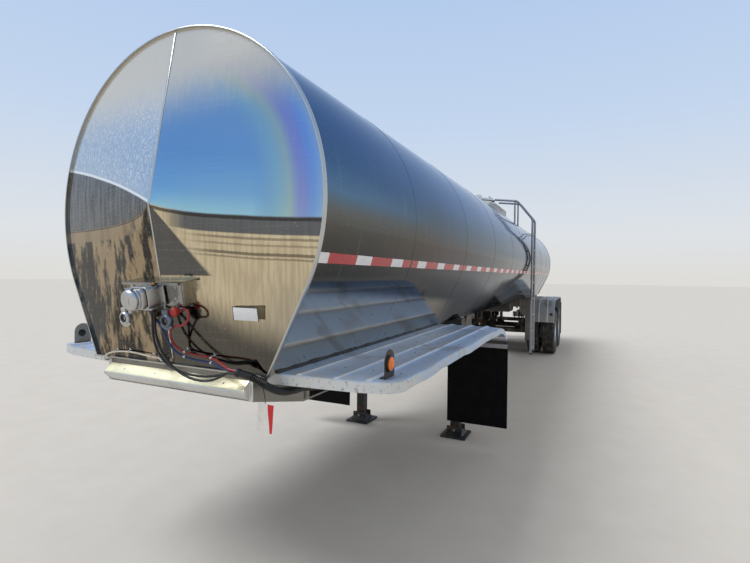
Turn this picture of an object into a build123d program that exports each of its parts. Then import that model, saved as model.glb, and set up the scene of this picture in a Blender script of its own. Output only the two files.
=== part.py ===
from build123d import *
import os
from math import asin, cos, degrees, radians, sin, sqrt, tan

# Milk tanker trailer. X points forward, Y to the trailer's left and Z up, in millimetres.
# The origin is on the ground, under the middle of the trailer.

# Barrel: a round top whose flat flanks lean in to a flat floor
TANK_LENGTH = 11770
TANK_RADIUS = 915
FLANK_ANGLE = 26.5
FLOOR_DROP = TANK_RADIUS - 95
TANK_AXIS_HEIGHT = 2150
HEAD_BULGE = 160
APEX_SCALE = 0.013
RIM_WIDTH = 26
RIM_PROUD = 9
SEAM_WIDTH = 20
SEAM_PROUD = 5

# Coupler box, its ramp plate and the polished nose rail
COUPLER_INSET = 87.6
COUPLER_LENGTH = 1900
COUPLER_FRONT_DEPTH = 135
COUPLER_DEPTH = 235
COUPLER_RAMP = 420
COUPLER_WALL = 10
POCKET_LENGTH = 420
POCKET_PITCH = 470
POCKET_INSET = 60
POCKET_REACH = 200
NOSE_INSET = 26
NOSE_TOP_DROP = 37
NOSE_EDGE_DROP = 85
NOSE_REACH = 45

# Kingpin, two inch
KINGPIN_SETBACK = 914
KINGPIN_SHOULDER = (36.5, 30)
KINGPIN_NECK = (25.4, 36)
KINGPIN_FLANGE = (35.7, 18)

# Front fenders
OVERALL_HALF_WIDTH = 1220
FENDER_SHEET = 8
FENDER_TUCK = 44
FENDER_LENGTH = 2990
FENDER_FRONT = 50
FENDER_SWEEP = 220
FENDER_TAIL_LENGTH = 390
FENDER_TAIL_DROP = 130
FENDER_LIP = 55
FENDER_CORNER = 95
RIB_WIDTH = 30
RIB_HEIGHT = 9
FENDER_RIBS = (740, 930, 1080)

# Marker lamps on the fenders
MARKER_SETBACK = 230
MARKER_Y = 1135
MARKER_WIDTH = 110
MARKER_HEIGHT = 132
MARKER_PLATE = 6
MARKER_FOOT = 30
LENS_RADIUS = 33
LENS_DEPTH = 22
LENS_RISE = 68
LENS_LEAD = 8

# Mud flaps
FLAP_THICKNESS = 10
FLAP_WIDTH = 630
FLAP_BOTTOM = 260
FRONT_FLAP_STATION = 3030
FRONT_FLAP_DROP = 210
REAR_FLAP_DROP = 250
REAR_FLAP_GAP = 80
FLAP_BAR = 30

# Landing gear
LEG_STATION = 3370
LEG_Y = 600
LEG_OUTER = 140
LEG_INNER = 96
LEG_CASE_BOTTOM = 560
SHOE_LENGTH = 300
SHOE_WIDTH = 280
SHOE_THICKNESS = 24
SHOE_TOP = 90
LEG_BEAM_DEPTH = 150
LEG_DOUBLER = (10, 260)
CROSS_SHAFT_RADIUS = 22
CROSS_SHAFT_Z = 800
BRACE_RADIUS = 21
BRACE_REACH = 900
GEARBOX_SIZE = (110, 62, 170)
GEARBOX_Z = 960
CRANK_RADIUS = 12
CRANK_REACH = 300
CRANK_ARM = 290
CRANK_GRIP = 120
CRANK_BEND = 30

# Tandem
FRONT_AXLE_STATION = TANK_LENGTH - 1870
AXLE_SPACING = 1245
TYRE_RADIUS = 510
TYRE_WIDTH = 279
TREAD_WIDTH = 216
DUAL_SPACING = 343
OUTER_TYRE_Y = 1079
RIM_RADIUS = 286
RIM_BARREL = 210
RIM_WALL = 14
DISC_THICKNESS = 12
DISC_RADIUS = 168
HUB_RADIUS = 96
HUB_CAP_RADIUS = 66
HUB_REACH = 116
DRUM_RADIUS = 224
DRUM_LENGTH = 190
SPINDLE_RADIUS = 40
BEARING_CLEARANCE = 0.05
AXLE_TUBE_RADIUS = 63.5
SHIELD_RADIUS = 214
SHIELD_GAP = 6

# Springs, hangers and the rear subframe
SPRING_Y = 482
SPRING_WIDTH = 76
SPRING_SEAT = 20
LEAF_THICKNESS = 12
LEAF_RADIUS = 1500
LEAF_COUNT = 6
MAIN_LEAF_HALF = 520
LEAF_STEP = 78
CLAMP_HALF_LENGTH = 95
CLAMP_PLATE = 18
U_BOLT_RADIUS = 10
RAIL_DEPTH = 290
RAIL_WIDTH = 76
RAIL_WALL = 10
SUBFRAME_STATION = FRONT_AXLE_STATION - 1000
SUBFRAME_TAIL = 600
CROSSMEMBER_DEPTH = 200
CROSSMEMBER_THICKNESS = 60
HANGER_CHEEK = 12
HANGER_TOP_LENGTH = 220
HANGER_BOTTOM_LENGTH = 90
EQUALIZER_WIDTH = 60
EQUALIZER_RISE = 60
EQUALIZER_HUB = 44
EQUALIZER_PIN = 22
CAM_RADIUS = 50
CAM_INSET = 30
CAM_GAP = 0.05
HANGER_GAP = 4
HANGER_DROP = 70
BULKHEAD_STATION = FRONT_AXLE_STATION - 770
BULKHEAD_THICKNESS = 12
BULKHEAD_HALF_WIDTH = 800
BULKHEAD_LEG = 190
BULKHEAD_BEAM = 200
BULKHEAD_GUSSET = 230
BULKHEAD_BOTTOM = 350

# Rear fenders over the tandem
REAR_FENDER_DROP = 50
REAR_FENDER_EDGE = TYRE_RADIUS + 270
REAR_FENDER_REACH = 600
REAR_FENDER_SHOULDER = 250
REAR_FENDER_BEND = 150
REAR_FENDER_INNER = 585
FENDER_STAY_RADIUS = 20

# Brakes and air
CHAMBER_RADIUS = 90
CHAMBER_LENGTH = 190
CHAMBER_Y = 330
CHAMBER_OFFSET = 215
RESERVOIR_RADIUS = 120
RESERVOIR_LENGTH = 820
RESERVOIR_SPACING = 290
RESERVOIR_STATION = FRONT_AXLE_STATION - 1550
RESERVOIR_GAP = 40

# Rear cabinet with two doors and the outlet valve
CABINET_HALF_WIDTH = 418
CABINET_DEPTH = 620
CABINET_DROP = 380
CABINET_RISE = 430
CABINET_WALL = 12
DOOR_THICKNESS = 20
DOOR_GAP = 6
DOOR_SEAT = 0.3
DOOR_HINGE_OFFSET = 16
DOOR_PIN_RADIUS = 5
DOOR_KNUCKLE_RADIUS = 9
DOOR_KNUCKLE_LENGTH = 60
DOOR_HINGE_INSET = 150
OUTLET_BORE = 36.5
OUTLET_WALL = 3
OUTLET_DROP = 140
OUTLET_RISE = 60
OUTLET_SEAT = 4
VALVE_COLLAR = 22
VALVE_HEIGHT = 30
VALVE_LEVER = (24, 220, 14)
OUTLET_REACH = 330
FERRULE_RADIUS = 45.5

# Rear bumper and lamps
BUMPER_SECTION = 100
BUMPER_BOTTOM = 500
BUMPER_HALF_WIDTH = 1100
STRUT_WIDTH = 70
LAMP_RADIUS = 52
LAMP_DEPTH = 24
LAMP_PITCH = 160
LAMP_PANEL_HEIGHT = 140
LAMP_PANEL_THICKNESS = 8
LAMP_DROP = 220

# Manhole and its platform
MANHOLE_STATION = TANK_LENGTH - 4770
MANHOLE_RADIUS = 280
MANHOLE_WALL = 12
MANHOLE_RISE = 150
LID_OVERLAP = 22
LID_SKIRT = 24
LID_CROWN = 46
LID_SEAT = 0.3
LID_HINGE_REACH = 46
LID_PIN_RADIUS = 9
LID_KNUCKLE_RADIUS = 17
LID_EAR_HALF = 24
LID_LUG_HALF = 50
LID_GAP = 0.5
PLATFORM_HALF_LENGTH = 560
PLATFORM_HALF_WIDTH = 420
PLATFORM_RISE = 24
PLATFORM_SHEET = 6
PLATFORM_EDGE = 60
VENT_RADIUS = 62
VENT_HEIGHT = 130
VENT_OFFSET = 440

# Ladder and its arched handrails
LADDER_STATION = MANHOLE_STATION + 400
LADDER_HALF_WIDTH = 200
LADDER_Y = TANK_RADIUS + 45
LADDER_TUBE = 19
RUNG_RADIUS = 13
RUNG_PITCH = 305
RUNG_START = 120
LADDER_BOTTOM = 360
RAIL_SHOULDER_DROP = 195
RAIL_KNEE_Y = 680
RAIL_KNEE_RISE = 160
RAIL_END_Y = 270
RAIL_END_RISE = 207
RAIL_BEND = 120
POST_Y = 640
POST_RADIUS = 15
STANDOFF_RISES = (-670, 0, 450)
STANDOFF_HALF_WIDTH = 19
STANDOFF_THICKNESS = 12

# Nose box on the front head, placed by its drop below the tank axis
NOSE_BOX_DROP = 440
NOSE_BOX_HALF_WIDTH = 185
NOSE_BOX_HEIGHT = 120
NOSE_BOX_DEPTH = 46
NOSE_BOX_FLANGE = 7
NOSE_BOX_LEDGE = 26
SOCKET_HALF_WIDTH = 62
SOCKET_HEIGHT = 130
SOCKET_DEPTH = 118
SOCKET_CAP = 44
SOCKET_CAP_RADIUS = 54
GLADHAND_DROP = 560
GLADHAND_PLACES = (-190, 108)
GLADHAND_RADIUS = 34
GLADHAND_BODY = 34
GLADHAND_OUT = 72
GLADHAND_PORT = 15
GLADHAND_NECK = 14
ELBOW_RADIUS = 9

# Cords at the nose. Each route's columns are forward of the front rim, left of the
# centre line and below the tank axis.
SLEEVE_RADIUS = 19
CABLE_RADIUS = 6
HOSE_RADIUS = 5.5
LEAD_RADIUS = 4.5
SLEEVE_POINTS = (
    (66, 484, 806),
    (60, 536, 813),
    (42, 584, 834),
    (12, 620, 868),
    (-42, 644, 900),
    (-104, 654, 912),
    (-200, 658, 918),
    (-330, 658, 918),
)
RED_HOSE_POINTS = (
    (101, 168, 519),
    (104, 200, 519),
    (110, 224, 541),
    (117, 224, 573),
    (123, 200, 597),
    (126, 150, 600),
    (122, 116, 618),
    (110, 95, 650),
    (86, 82, 688),
    (57, 88, 722),
    (36, 118, 746),
    (33, 202, 753),
    (33, 287, 757),
    (42, 345, 768),
    (62, 398, 782),
    (77, 446.24, 794.16),
    (72.46, 485.61, 799.46),
)
BLUE_HOSE_POINTS = (
    (101, -130, 519),
    (104, -96, 521),
    (109, -58, 536),
    (114, -20, 559),
    (118, 16, 584),
    (119, 46, 612),
    (112, 60, 652),
    (92, 66, 694),
    (64, 76, 738),
    (40, 112, 768),
    (33, 202, 780),
    (32, 297, 783),
    (38, 348, 797),
    (50, 398, 802),
    (63.89, 444.73, 794.16),
    (59.35, 484.09, 799.46),
)
UPPER_CABLE_POINTS = (
    (135, -8, 529.3),
    (126.3, -8, 573.4),
    (124, -12, 624),
    (122, -6, 678),
    (120, 16, 732),
    (116, 62, 786),
    (108, 136, 822),
    (98, 226, 838),
    (86, 316, 840),
    (74, 392, 826),
    (64.09, 442.99, 807.24),
    (59.55, 482.35, 812.54),
)
LOWER_CABLE_POINTS = (
    (134.97, 8, 529.45),
    (128, 8, 564.8),
    (134, 18, 612),
    (142, 38, 664),
    (146, 68, 716),
    (144, 108, 764),
    (138, 160, 806),
    (130, 226, 838),
    (120, 300, 854),
    (106, 370, 848),
    (88, 414, 824),
    (77.2, 444.5, 807.24),
    (72.66, 483.87, 812.54),
)
SIDE_LEAD_POINTS = (
    (-60, -548, 850),
    (-20, -549, 849),
    (12, -544, 844),
    (30, -526, 822),
    (28, -490, 800),
    (22, -440, 788),
    (20, -380, 782),
    (22, -300, 780),
    (24, -220, 785),
    (27, -150, 791),
    (28, -100, 793),
    (28, -70, 793),
)
CLIP_HALF_WIDTH = 8
CLIP_GAP = 0.3

# Values worked out from the sizes above
FLOOR_Z = TANK_AXIS_HEIGHT - FLOOR_DROP
TANK_TOP_Z = TANK_AXIS_HEIGHT + TANK_RADIUS
FLANK_RISE = tan(radians(FLANK_ANGLE))
FOOT_Y = (TANK_RADIUS - FLOOR_DROP * sin(radians(FLANK_ANGLE))) / cos(radians(FLANK_ANGLE))
APEX_DROP = FLOOR_DROP * APEX_SCALE
HEAD_TILT = degrees(asin(HEAD_BULGE / sqrt(HEAD_BULGE**2 + (FLOOR_DROP - APEX_DROP) ** 2)))
COUPLER_PLATE_Z = FLOOR_Z - COUPLER_DEPTH
COUPLER_HALF_WIDTH = FOOT_Y - COUPLER_INSET
NOSE_HALF_WIDTH = COUPLER_HALF_WIDTH - NOSE_INSET
FRONT_FLAP_TOP = FLOOR_Z - FRONT_FLAP_DROP
REAR_FLAP_TOP = FLOOR_Z - REAR_FLAP_DROP
REAR_FENDER_CREST = FLOOR_Z - REAR_FENDER_DROP
CABINET_BOTTOM = FLOOR_Z - CABINET_DROP
CABINET_TOP = FLOOR_Z + CABINET_RISE
OUTLET_HEIGHT = FLOOR_Z - OUTLET_DROP
LAMP_HEIGHT = FLOOR_Z - LAMP_DROP
RAIL_SHOULDER_Z = TANK_TOP_Z - RAIL_SHOULDER_DROP
RAIL_KNEE = (RAIL_KNEE_Y, TANK_TOP_Z + RAIL_KNEE_RISE)
RAIL_END = (RAIL_END_Y, TANK_TOP_Z + RAIL_END_RISE)
RUNG_COUNT = int((RAIL_SHOULDER_Z - RAIL_BEND - LADDER_BOTTOM - RUNG_START) / RUNG_PITCH) + 1
FENDER_INNER = FOOT_Y - FENDER_TUCK
REAR_EXTENT = CABINET_DEPTH + DOOR_SEAT + DOOR_THICKNESS


def head_reach(drop):
    """How far the front head's lower face stands ahead of the rim at a drop below the axis."""
    return HEAD_BULGE * (FLOOR_DROP - drop) / (FLOOR_DROP - APEX_DROP)


NOSE_OUT = NOSE_BOX_DEPTH + SOCKET_DEPTH + SOCKET_CAP
FRONT_EXTENT = (
    head_reach(NOSE_BOX_DROP)
    + NOSE_OUT * cos(radians(HEAD_TILT))
    + SOCKET_CAP_RADIUS * sin(radians(HEAD_TILT))
)
FRONT_RIM_X = (TANK_LENGTH + REAR_EXTENT - FRONT_EXTENT) / 2
REAR_RIM_X = FRONT_RIM_X - TANK_LENGTH
SIDES = (1, -1)


def station(distance):
    """The X of a place this far behind the front rim."""
    return FRONT_RIM_X - distance


def frame_point(route_point):
    """A cord route's point in the trailer's own frame."""
    ahead, left, below = route_point
    return Vector(FRONT_RIM_X + ahead, left, TANK_AXIS_HEIGHT - below)


def barrel_plane(x):
    """A cross-section plane on the tank axis, with its own X along +Y and its own Y up."""
    return Plane(origin=(x, 0, TANK_AXIS_HEIGHT), x_dir=(0, 1, 0), z_dir=(1, 0, 0))


def side_plane(y):
    """An upright plane along the trailer, with its own X forward, its own Y up, facing -Y."""
    return Plane(origin=(0, y, 0), x_dir=(1, 0, 0), z_dir=(0, -1, 0))


def barrel_outline(radius, drop):
    """The barrel's section as wires in the active line builder."""
    lean = radians(FLANK_ANGLE)
    foot = (radius - drop * sin(lean)) / cos(lean)
    shoulder = (radius * cos(lean), -radius * sin(lean))
    ThreePointArc((-shoulder[0], shoulder[1]), (0, radius), shoulder)
    Polyline(shoulder, (foot, -drop), (-foot, -drop), (-shoulder[0], shoulder[1]))


def barrel_solid(x_low, x_high):
    """A plain length of the barrel, to cut pieces that sit on its shell."""
    with BuildPart() as block:
        with BuildSketch(barrel_plane(x_low)):
            with BuildLine():
                barrel_outline(TANK_RADIUS, FLOOR_DROP)
            make_face()
        extrude(amount=x_high - x_low)
    return block.part


def save(piece, name):
    """Label a finished piece and write it as one STEP file."""
    piece.part.label = name
    export_step(piece.part, f"parts/{name}.step")


os.makedirs("parts", exist_ok=True)

# Tank shell
with BuildPart() as tank_shell:
    with BuildSketch(barrel_plane(REAR_RIM_X)):
        with BuildLine():
            barrel_outline(TANK_RADIUS, FLOOR_DROP)
        make_face()
    extrude(amount=TANK_LENGTH)
save(tank_shell, "tank_shell")


# Heads: shallow cones, each with an upright seam down to its centre
def head_cone(rim_x, bulge):
    """A cone from the barrel's section to a small flat at its centre."""
    with BuildPart() as cone:
        with BuildSketch(barrel_plane(rim_x)):
            with BuildLine():
                barrel_outline(TANK_RADIUS, FLOOR_DROP)
            make_face()
        with BuildSketch(barrel_plane(rim_x + bulge)):
            with BuildLine():
                barrel_outline(TANK_RADIUS * APEX_SCALE, APEX_DROP)
            make_face()
        loft(ruled=True)
    return cone.part


front_cone = head_cone(FRONT_RIM_X, HEAD_BULGE)
rear_cone = head_cone(REAR_RIM_X, -HEAD_BULGE)

with BuildPart() as front_head:
    add(front_cone)
    seam_low = NOSE_BOX_DROP - NOSE_BOX_HEIGHT / 2 - NOSE_BOX_LEDGE
    with BuildSketch(Plane.XZ.offset(-SEAM_WIDTH / 2)):
        with BuildLine():
            Polyline(
                (FRONT_RIM_X, TANK_TOP_Z - RIM_WIDTH),
                (FRONT_RIM_X + SEAM_PROUD, TANK_TOP_Z - RIM_WIDTH),
                (FRONT_RIM_X + HEAD_BULGE + SEAM_PROUD, TANK_AXIS_HEIGHT),
                (FRONT_RIM_X + head_reach(seam_low) + SEAM_PROUD, TANK_AXIS_HEIGHT - seam_low),
                (FRONT_RIM_X, TANK_AXIS_HEIGHT - seam_low),
                close=True,
            )
        make_face()
    extrude(amount=SEAM_WIDTH)
save(front_head, "front_head")

with BuildPart() as rear_head:
    add(rear_cone)
save(rear_head, "rear_head")

# Bright bands around both rims
with BuildPart() as rim_bands:
    for rim_x in (FRONT_RIM_X, REAR_RIM_X):
        with BuildSketch(barrel_plane(rim_x - RIM_WIDTH / 2)):
            with BuildLine():
                barrel_outline(TANK_RADIUS + RIM_PROUD, FLOOR_DROP + RIM_PROUD)
            make_face()
            with BuildLine():
                barrel_outline(TANK_RADIUS, FLOOR_DROP)
            make_face(mode=Mode.SUBTRACT)
        extrude(amount=RIM_WIDTH)
save(rim_bands, "rim_bands")

# Coupler: a box under the floor whose bottom plate ramps up to the nose
with BuildPart() as upper_coupler:
    with BuildSketch(Plane.XZ.offset(-COUPLER_HALF_WIDTH)):
        with BuildLine():
            Polyline(
                (station(RIM_WIDTH / 2), FLOOR_Z),
                (station(RIM_WIDTH / 2), FLOOR_Z - RIM_PROUD),
                (station(0), FLOOR_Z - RIM_PROUD),
                (station(0), FLOOR_Z - COUPLER_FRONT_DEPTH),
                (station(COUPLER_RAMP), COUPLER_PLATE_Z),
                (station(COUPLER_LENGTH), COUPLER_PLATE_Z),
                (station(COUPLER_LENGTH), FLOOR_Z),
                close=True,
            )
        make_face()
    extrude(amount=2 * COUPLER_HALF_WIDTH)
    pocket_height = COUPLER_DEPTH - 2 * COUPLER_WALL
    pocket_places = [COUPLER_LENGTH - POCKET_LENGTH / 2 - POCKET_INSET - n * POCKET_PITCH for n in range(3)]
    for side in SIDES:
        with Locations(
            *[
                (station(place), side * COUPLER_HALF_WIDTH, FLOOR_Z - COUPLER_DEPTH / 2)
                for place in pocket_places
            ]
        ):
            Box(POCKET_LENGTH, 2 * POCKET_REACH, pocket_height, mode=Mode.SUBTRACT)
save(upper_coupler, "upper_coupler")

with BuildPart() as nose_rail:
    with BuildSketch(Plane.XZ.offset(-NOSE_HALF_WIDTH)):
        with BuildLine():
            Polyline(
                (station(0), FLOOR_Z - NOSE_TOP_DROP),
                (station(-NOSE_REACH), FLOOR_Z - NOSE_EDGE_DROP),
                (station(-5), FLOOR_Z - COUPLER_FRONT_DEPTH),
                (station(0), FLOOR_Z - COUPLER_FRONT_DEPTH),
                close=True,
            )
        make_face()
    extrude(amount=2 * NOSE_HALF_WIDTH)
save(nose_rail, "nose_rail")

with BuildPart() as kingpin:
    depth = 0
    for radius, length in (KINGPIN_SHOULDER, KINGPIN_NECK, KINGPIN_FLANGE):
        with BuildSketch(Plane.XY.offset(COUPLER_PLATE_Z - depth)):
            with Locations((station(KINGPIN_SETBACK), 0)):
                Circle(radius)
        extrude(amount=-length)
        depth += length
save(kingpin, "kingpin")


# Front fenders: a ribbed sheet on each side with a lip along its front and outer edges
def fender_path():
    """The fender's side line: level, then turning down at its tail."""
    level_end = station(FENDER_LENGTH - FENDER_TAIL_LENGTH)
    Line((station(FENDER_FRONT), FLOOR_Z), (level_end, FLOOR_Z))
    TangentArc(
        (level_end, FLOOR_Z),
        (station(FENDER_LENGTH), FLOOR_Z - FENDER_TAIL_DROP),
        tangent=(-1, 0),
    )


def fender_plan(inset, inner, length):
    """The fender seen from above, drawn smaller by an inset at its front and outer edges."""
    front = station(FENDER_FRONT + inset)
    outer = OVERALL_HALF_WIDTH - inset
    knee = OVERALL_HALF_WIDTH - FENDER_CORNER * 2
    Polyline(
        (front, inner),
        (front - FENDER_CORNER / 2, knee),
        (station(FENDER_SWEEP + inset), outer),
        (station(length), outer),
        (station(length), inner),
        close=True,
    )


with BuildPart() as front_fenders:
    with BuildSketch(side_plane(OVERALL_HALF_WIDTH)):
        with BuildLine():
            fender_path()
            offset(amount=FENDER_SHEET, side=Side.LEFT)
        make_face()
    extrude(amount=OVERALL_HALF_WIDTH - FENDER_INNER)
    for rib_y in FENDER_RIBS:
        with BuildSketch(side_plane(rib_y + RIB_WIDTH / 2)):
            with BuildLine():
                fender_path()
                offset(amount=RIB_HEIGHT, side=Side.RIGHT)
            make_face()
        extrude(amount=RIB_WIDTH)
    with BuildSketch(Plane.XY.offset(FLOOR_Z + RIB_HEIGHT)):
        with BuildLine():
            fender_plan(0, FENDER_INNER, FENDER_LENGTH)
        make_face()
    extrude(amount=-(FENDER_TAIL_DROP + FENDER_SHEET + RIB_HEIGHT) * 2, mode=Mode.INTERSECT)
    lip_length = FENDER_LENGTH - FENDER_TAIL_LENGTH
    with BuildSketch(Plane.XY.offset(FLOOR_Z - FENDER_SHEET)):
        with BuildLine():
            fender_plan(0, FENDER_INNER, lip_length)
        make_face()
        with BuildLine():
            fender_plan(FENDER_SHEET, FENDER_INNER - 1, lip_length + 1)
        make_face(mode=Mode.SUBTRACT)
    extrude(amount=-(FENDER_LIP - FENDER_SHEET))
    mirror(about=Plane.XZ)
save(front_fenders, "front_fenders")

# Gusset brackets that carry the front fenders from the coupler and the floor
BRACKET_STATIONS = (330, 920, 1390, 1865, 2480)
BRACKET_PLATE = 10
BRACKET_DEPTH = 150
BRACKET_TIP = 30
with BuildPart() as fender_brackets:
    for place in BRACKET_STATIONS:
        root_y = COUPLER_HALF_WIDTH if place < COUPLER_LENGTH else FENDER_INNER
        with BuildSketch(Plane.YZ.offset(station(place))):
            with BuildLine():
                Polyline(
                    (root_y, FLOOR_Z - FENDER_SHEET),
                    (OVERALL_HALF_WIDTH - 2 * FENDER_SHEET, FLOOR_Z - FENDER_SHEET),
                    (OVERALL_HALF_WIDTH - 2 * FENDER_SHEET, FLOOR_Z - FENDER_SHEET - BRACKET_TIP),
                    (root_y + 60, FLOOR_Z - BRACKET_DEPTH),
                    (root_y, FLOOR_Z - BRACKET_DEPTH),
                    close=True,
                )
            make_face()
        extrude(amount=-BRACKET_PLATE)
    mirror(about=Plane.XZ)
save(fender_brackets, "fender_brackets")

# Marker lamps: an arch-topped plate that faces outwards, with a round lens on its outer face
marker_x = station(MARKER_SETBACK)
with BuildPart() as marker_posts:
    with BuildSketch(side_plane(MARKER_Y)):
        with BuildLine():
            half = MARKER_WIDTH / 2
            arch_z = FLOOR_Z + MARKER_HEIGHT - half
            Polyline(
                (marker_x - half, arch_z),
                (marker_x - half, FLOOR_Z),
                (marker_x + half, FLOOR_Z),
                (marker_x + half, arch_z),
            )
            ThreePointArc(
                (marker_x + half, arch_z), (marker_x, FLOOR_Z + MARKER_HEIGHT), (marker_x - half, arch_z)
            )
        make_face()
    extrude(amount=MARKER_PLATE)
    with Locations((marker_x, MARKER_Y - MARKER_PLATE - MARKER_FOOT / 2, FLOOR_Z + MARKER_PLATE / 2)):
        Box(MARKER_WIDTH * 0.8, MARKER_FOOT, MARKER_PLATE)
    mirror(about=Plane.XZ)
save(marker_posts, "marker_posts")

with BuildPart() as marker_lenses:
    with BuildSketch(side_plane(MARKER_Y)):
        with Locations((marker_x + LENS_LEAD, FLOOR_Z + LENS_RISE)):
            Circle(LENS_RADIUS)
    extrude(amount=-LENS_DEPTH)
    mirror(about=Plane.XZ)
save(marker_lenses, "marker_lenses")

# Landing gear: two square legs under a beam, with sand shoes on the ground
leg_x = station(LEG_STATION)
with BuildPart() as landing_legs:
    for side in SIDES:
        with Locations((leg_x, side * LEG_Y, LEG_CASE_BOTTOM)):
            Box(
                LEG_OUTER,
                LEG_OUTER,
                FLOOR_Z - LEG_BEAM_DEPTH - LEG_CASE_BOTTOM,
                align=(Align.CENTER, Align.CENTER, Align.MIN),
            )
save(landing_legs, "landing_legs")

with BuildPart() as landing_feet:
    for side in SIDES:
        with Locations((leg_x, side * LEG_Y, SHOE_TOP)):
            Box(LEG_INNER, LEG_INNER, LEG_CASE_BOTTOM - SHOE_TOP, align=(Align.CENTER, Align.CENTER, Align.MIN))
        with Locations((leg_x, side * LEG_Y, 0)):
            Box(SHOE_LENGTH, SHOE_WIDTH, SHOE_THICKNESS, align=(Align.CENTER, Align.CENTER, Align.MIN))
        with BuildSketch(Plane.XY.offset(SHOE_THICKNESS)):
            with Locations((leg_x, side * LEG_Y)):
                Rectangle(SHOE_LENGTH * 0.72, SHOE_WIDTH * 0.72)
        with BuildSketch(Plane.XY.offset(SHOE_TOP)):
            with Locations((leg_x, side * LEG_Y)):
                Rectangle(LEG_INNER * 1.1, LEG_INNER * 1.1)
        loft()
save(landing_feet, "landing_feet")

with BuildPart() as landing_beam:
    with Locations((leg_x, 0, FLOOR_Z)):
        Box(
            LEG_OUTER + 20,
            2 * LEG_Y + LEG_OUTER,
            LEG_BEAM_DEPTH,
            align=(Align.CENTER, Align.CENTER, Align.MAX),
        )
    for side in SIDES:
        with Locations((leg_x - LEG_OUTER / 2, side * LEG_Y, FLOOR_Z - LEG_BEAM_DEPTH)):
            Box(LEG_DOUBLER[0], LEG_OUTER, LEG_DOUBLER[1], align=(Align.MAX, Align.CENTER, Align.MAX))
save(landing_beam, "landing_beam")

# Shaft between the legs and braces back to the floor
with BuildPart() as landing_braces:
    shaft_half = LEG_Y - LEG_OUTER / 2
    with BuildSketch(Plane.XZ.offset(-shaft_half)):
        with Locations((leg_x, CROSS_SHAFT_Z)):
            Circle(CROSS_SHAFT_RADIUS)
    extrude(amount=2 * shaft_half)
    for side in SIDES:
        foot = Vector(leg_x - LEG_OUTER / 2, side * LEG_Y, CROSS_SHAFT_Z)
        head = Vector(leg_x - BRACE_REACH, side * (FOOT_Y - 140), FLOOR_Z)
        with BuildSketch(Plane(origin=foot, z_dir=head - foot)):
            Circle(BRACE_RADIUS)
        extrude(amount=(head - foot).length)
    for side in SIDES:
        with Locations((leg_x, side * LEG_Y, CROSS_SHAFT_Z)):
            Box(LEG_OUTER, LEG_OUTER, 6 * BRACE_RADIUS, mode=Mode.SUBTRACT)
    with Locations((leg_x - BRACE_REACH, 0, FLOOR_Z)):
        Box(
            8 * BRACE_RADIUS,
            2 * FOOT_Y,
            4 * BRACE_RADIUS,
            align=(Align.CENTER, Align.CENTER, Align.MIN),
            mode=Mode.SUBTRACT,
        )
save(landing_braces, "landing_braces")

# Gearbox and crank on the left leg, with the crank's arm hanging down
gearbox_y = LEG_Y + LEG_OUTER / 2
crank_y = gearbox_y + GEARBOX_SIZE[1] + CRANK_REACH
with BuildPart() as landing_crank:
    with Locations((leg_x, gearbox_y, GEARBOX_Z)):
        Box(*GEARBOX_SIZE, align=(Align.CENTER, Align.MIN, Align.CENTER))
    with BuildLine() as crank_line:
        FilletPolyline(
            (leg_x, gearbox_y + GEARBOX_SIZE[1], GEARBOX_Z),
            (leg_x, crank_y, GEARBOX_Z),
            (leg_x, crank_y, GEARBOX_Z - CRANK_ARM),
            (leg_x, crank_y - CRANK_GRIP, GEARBOX_Z - CRANK_ARM),
            radius=CRANK_BEND,
        )
    with BuildSketch(Plane(origin=(leg_x, gearbox_y + GEARBOX_SIZE[1], GEARBOX_Z), z_dir=(0, 1, 0))):
        Circle(CRANK_RADIUS)
    sweep(path=crank_line.wires()[0])
save(landing_crank, "landing_crank")

# Mud flaps: a square bar with a rubber sheet hung under it
flap_y = OVERALL_HALF_WIDTH - FLAP_WIDTH / 2
front_flap_x = station(FRONT_FLAP_STATION)
rear_flap_x = REAR_RIM_X - REAR_FLAP_GAP
with BuildPart() as flap_hangers:
    for side in SIDES:
        with Locations((front_flap_x, side * flap_y, FRONT_FLAP_TOP)):
            Box(FLAP_BAR, FLAP_WIDTH, FLAP_BAR, align=(Align.CENTER, Align.CENTER, Align.MIN))
        with Locations((front_flap_x - FLAP_BAR / 2, side * (LEG_Y + LEG_OUTER / 4), FRONT_FLAP_TOP)):
            Box(
                LEG_STATION - LEG_OUTER / 2 - FRONT_FLAP_STATION - FLAP_BAR / 2,
                FLAP_BAR,
                FLAP_BAR,
                align=(Align.MAX, Align.CENTER, Align.MIN),
            )
        rail_side = SPRING_Y + RAIL_WIDTH / 2
        with Locations((rear_flap_x, side * rail_side, REAR_FLAP_TOP)):
            Box(
                FLAP_BAR,
                OVERALL_HALF_WIDTH - rail_side,
                FLAP_BAR,
                align=(Align.CENTER, Align.MIN if side > 0 else Align.MAX, Align.MIN),
            )
save(flap_hangers, "flap_hangers")

with BuildPart() as mud_flaps:
    for flap_x, top in ((front_flap_x, FRONT_FLAP_TOP), (rear_flap_x, REAR_FLAP_TOP)):
        for side in SIDES:
            with Locations((flap_x, side * flap_y, top)):
                Box(
                    FLAP_THICKNESS,
                    FLAP_WIDTH,
                    top - FLAP_BOTTOM,
                    align=(Align.CENTER, Align.CENTER, Align.MAX),
                )
save(mud_flaps, "mud_flaps")

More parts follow.
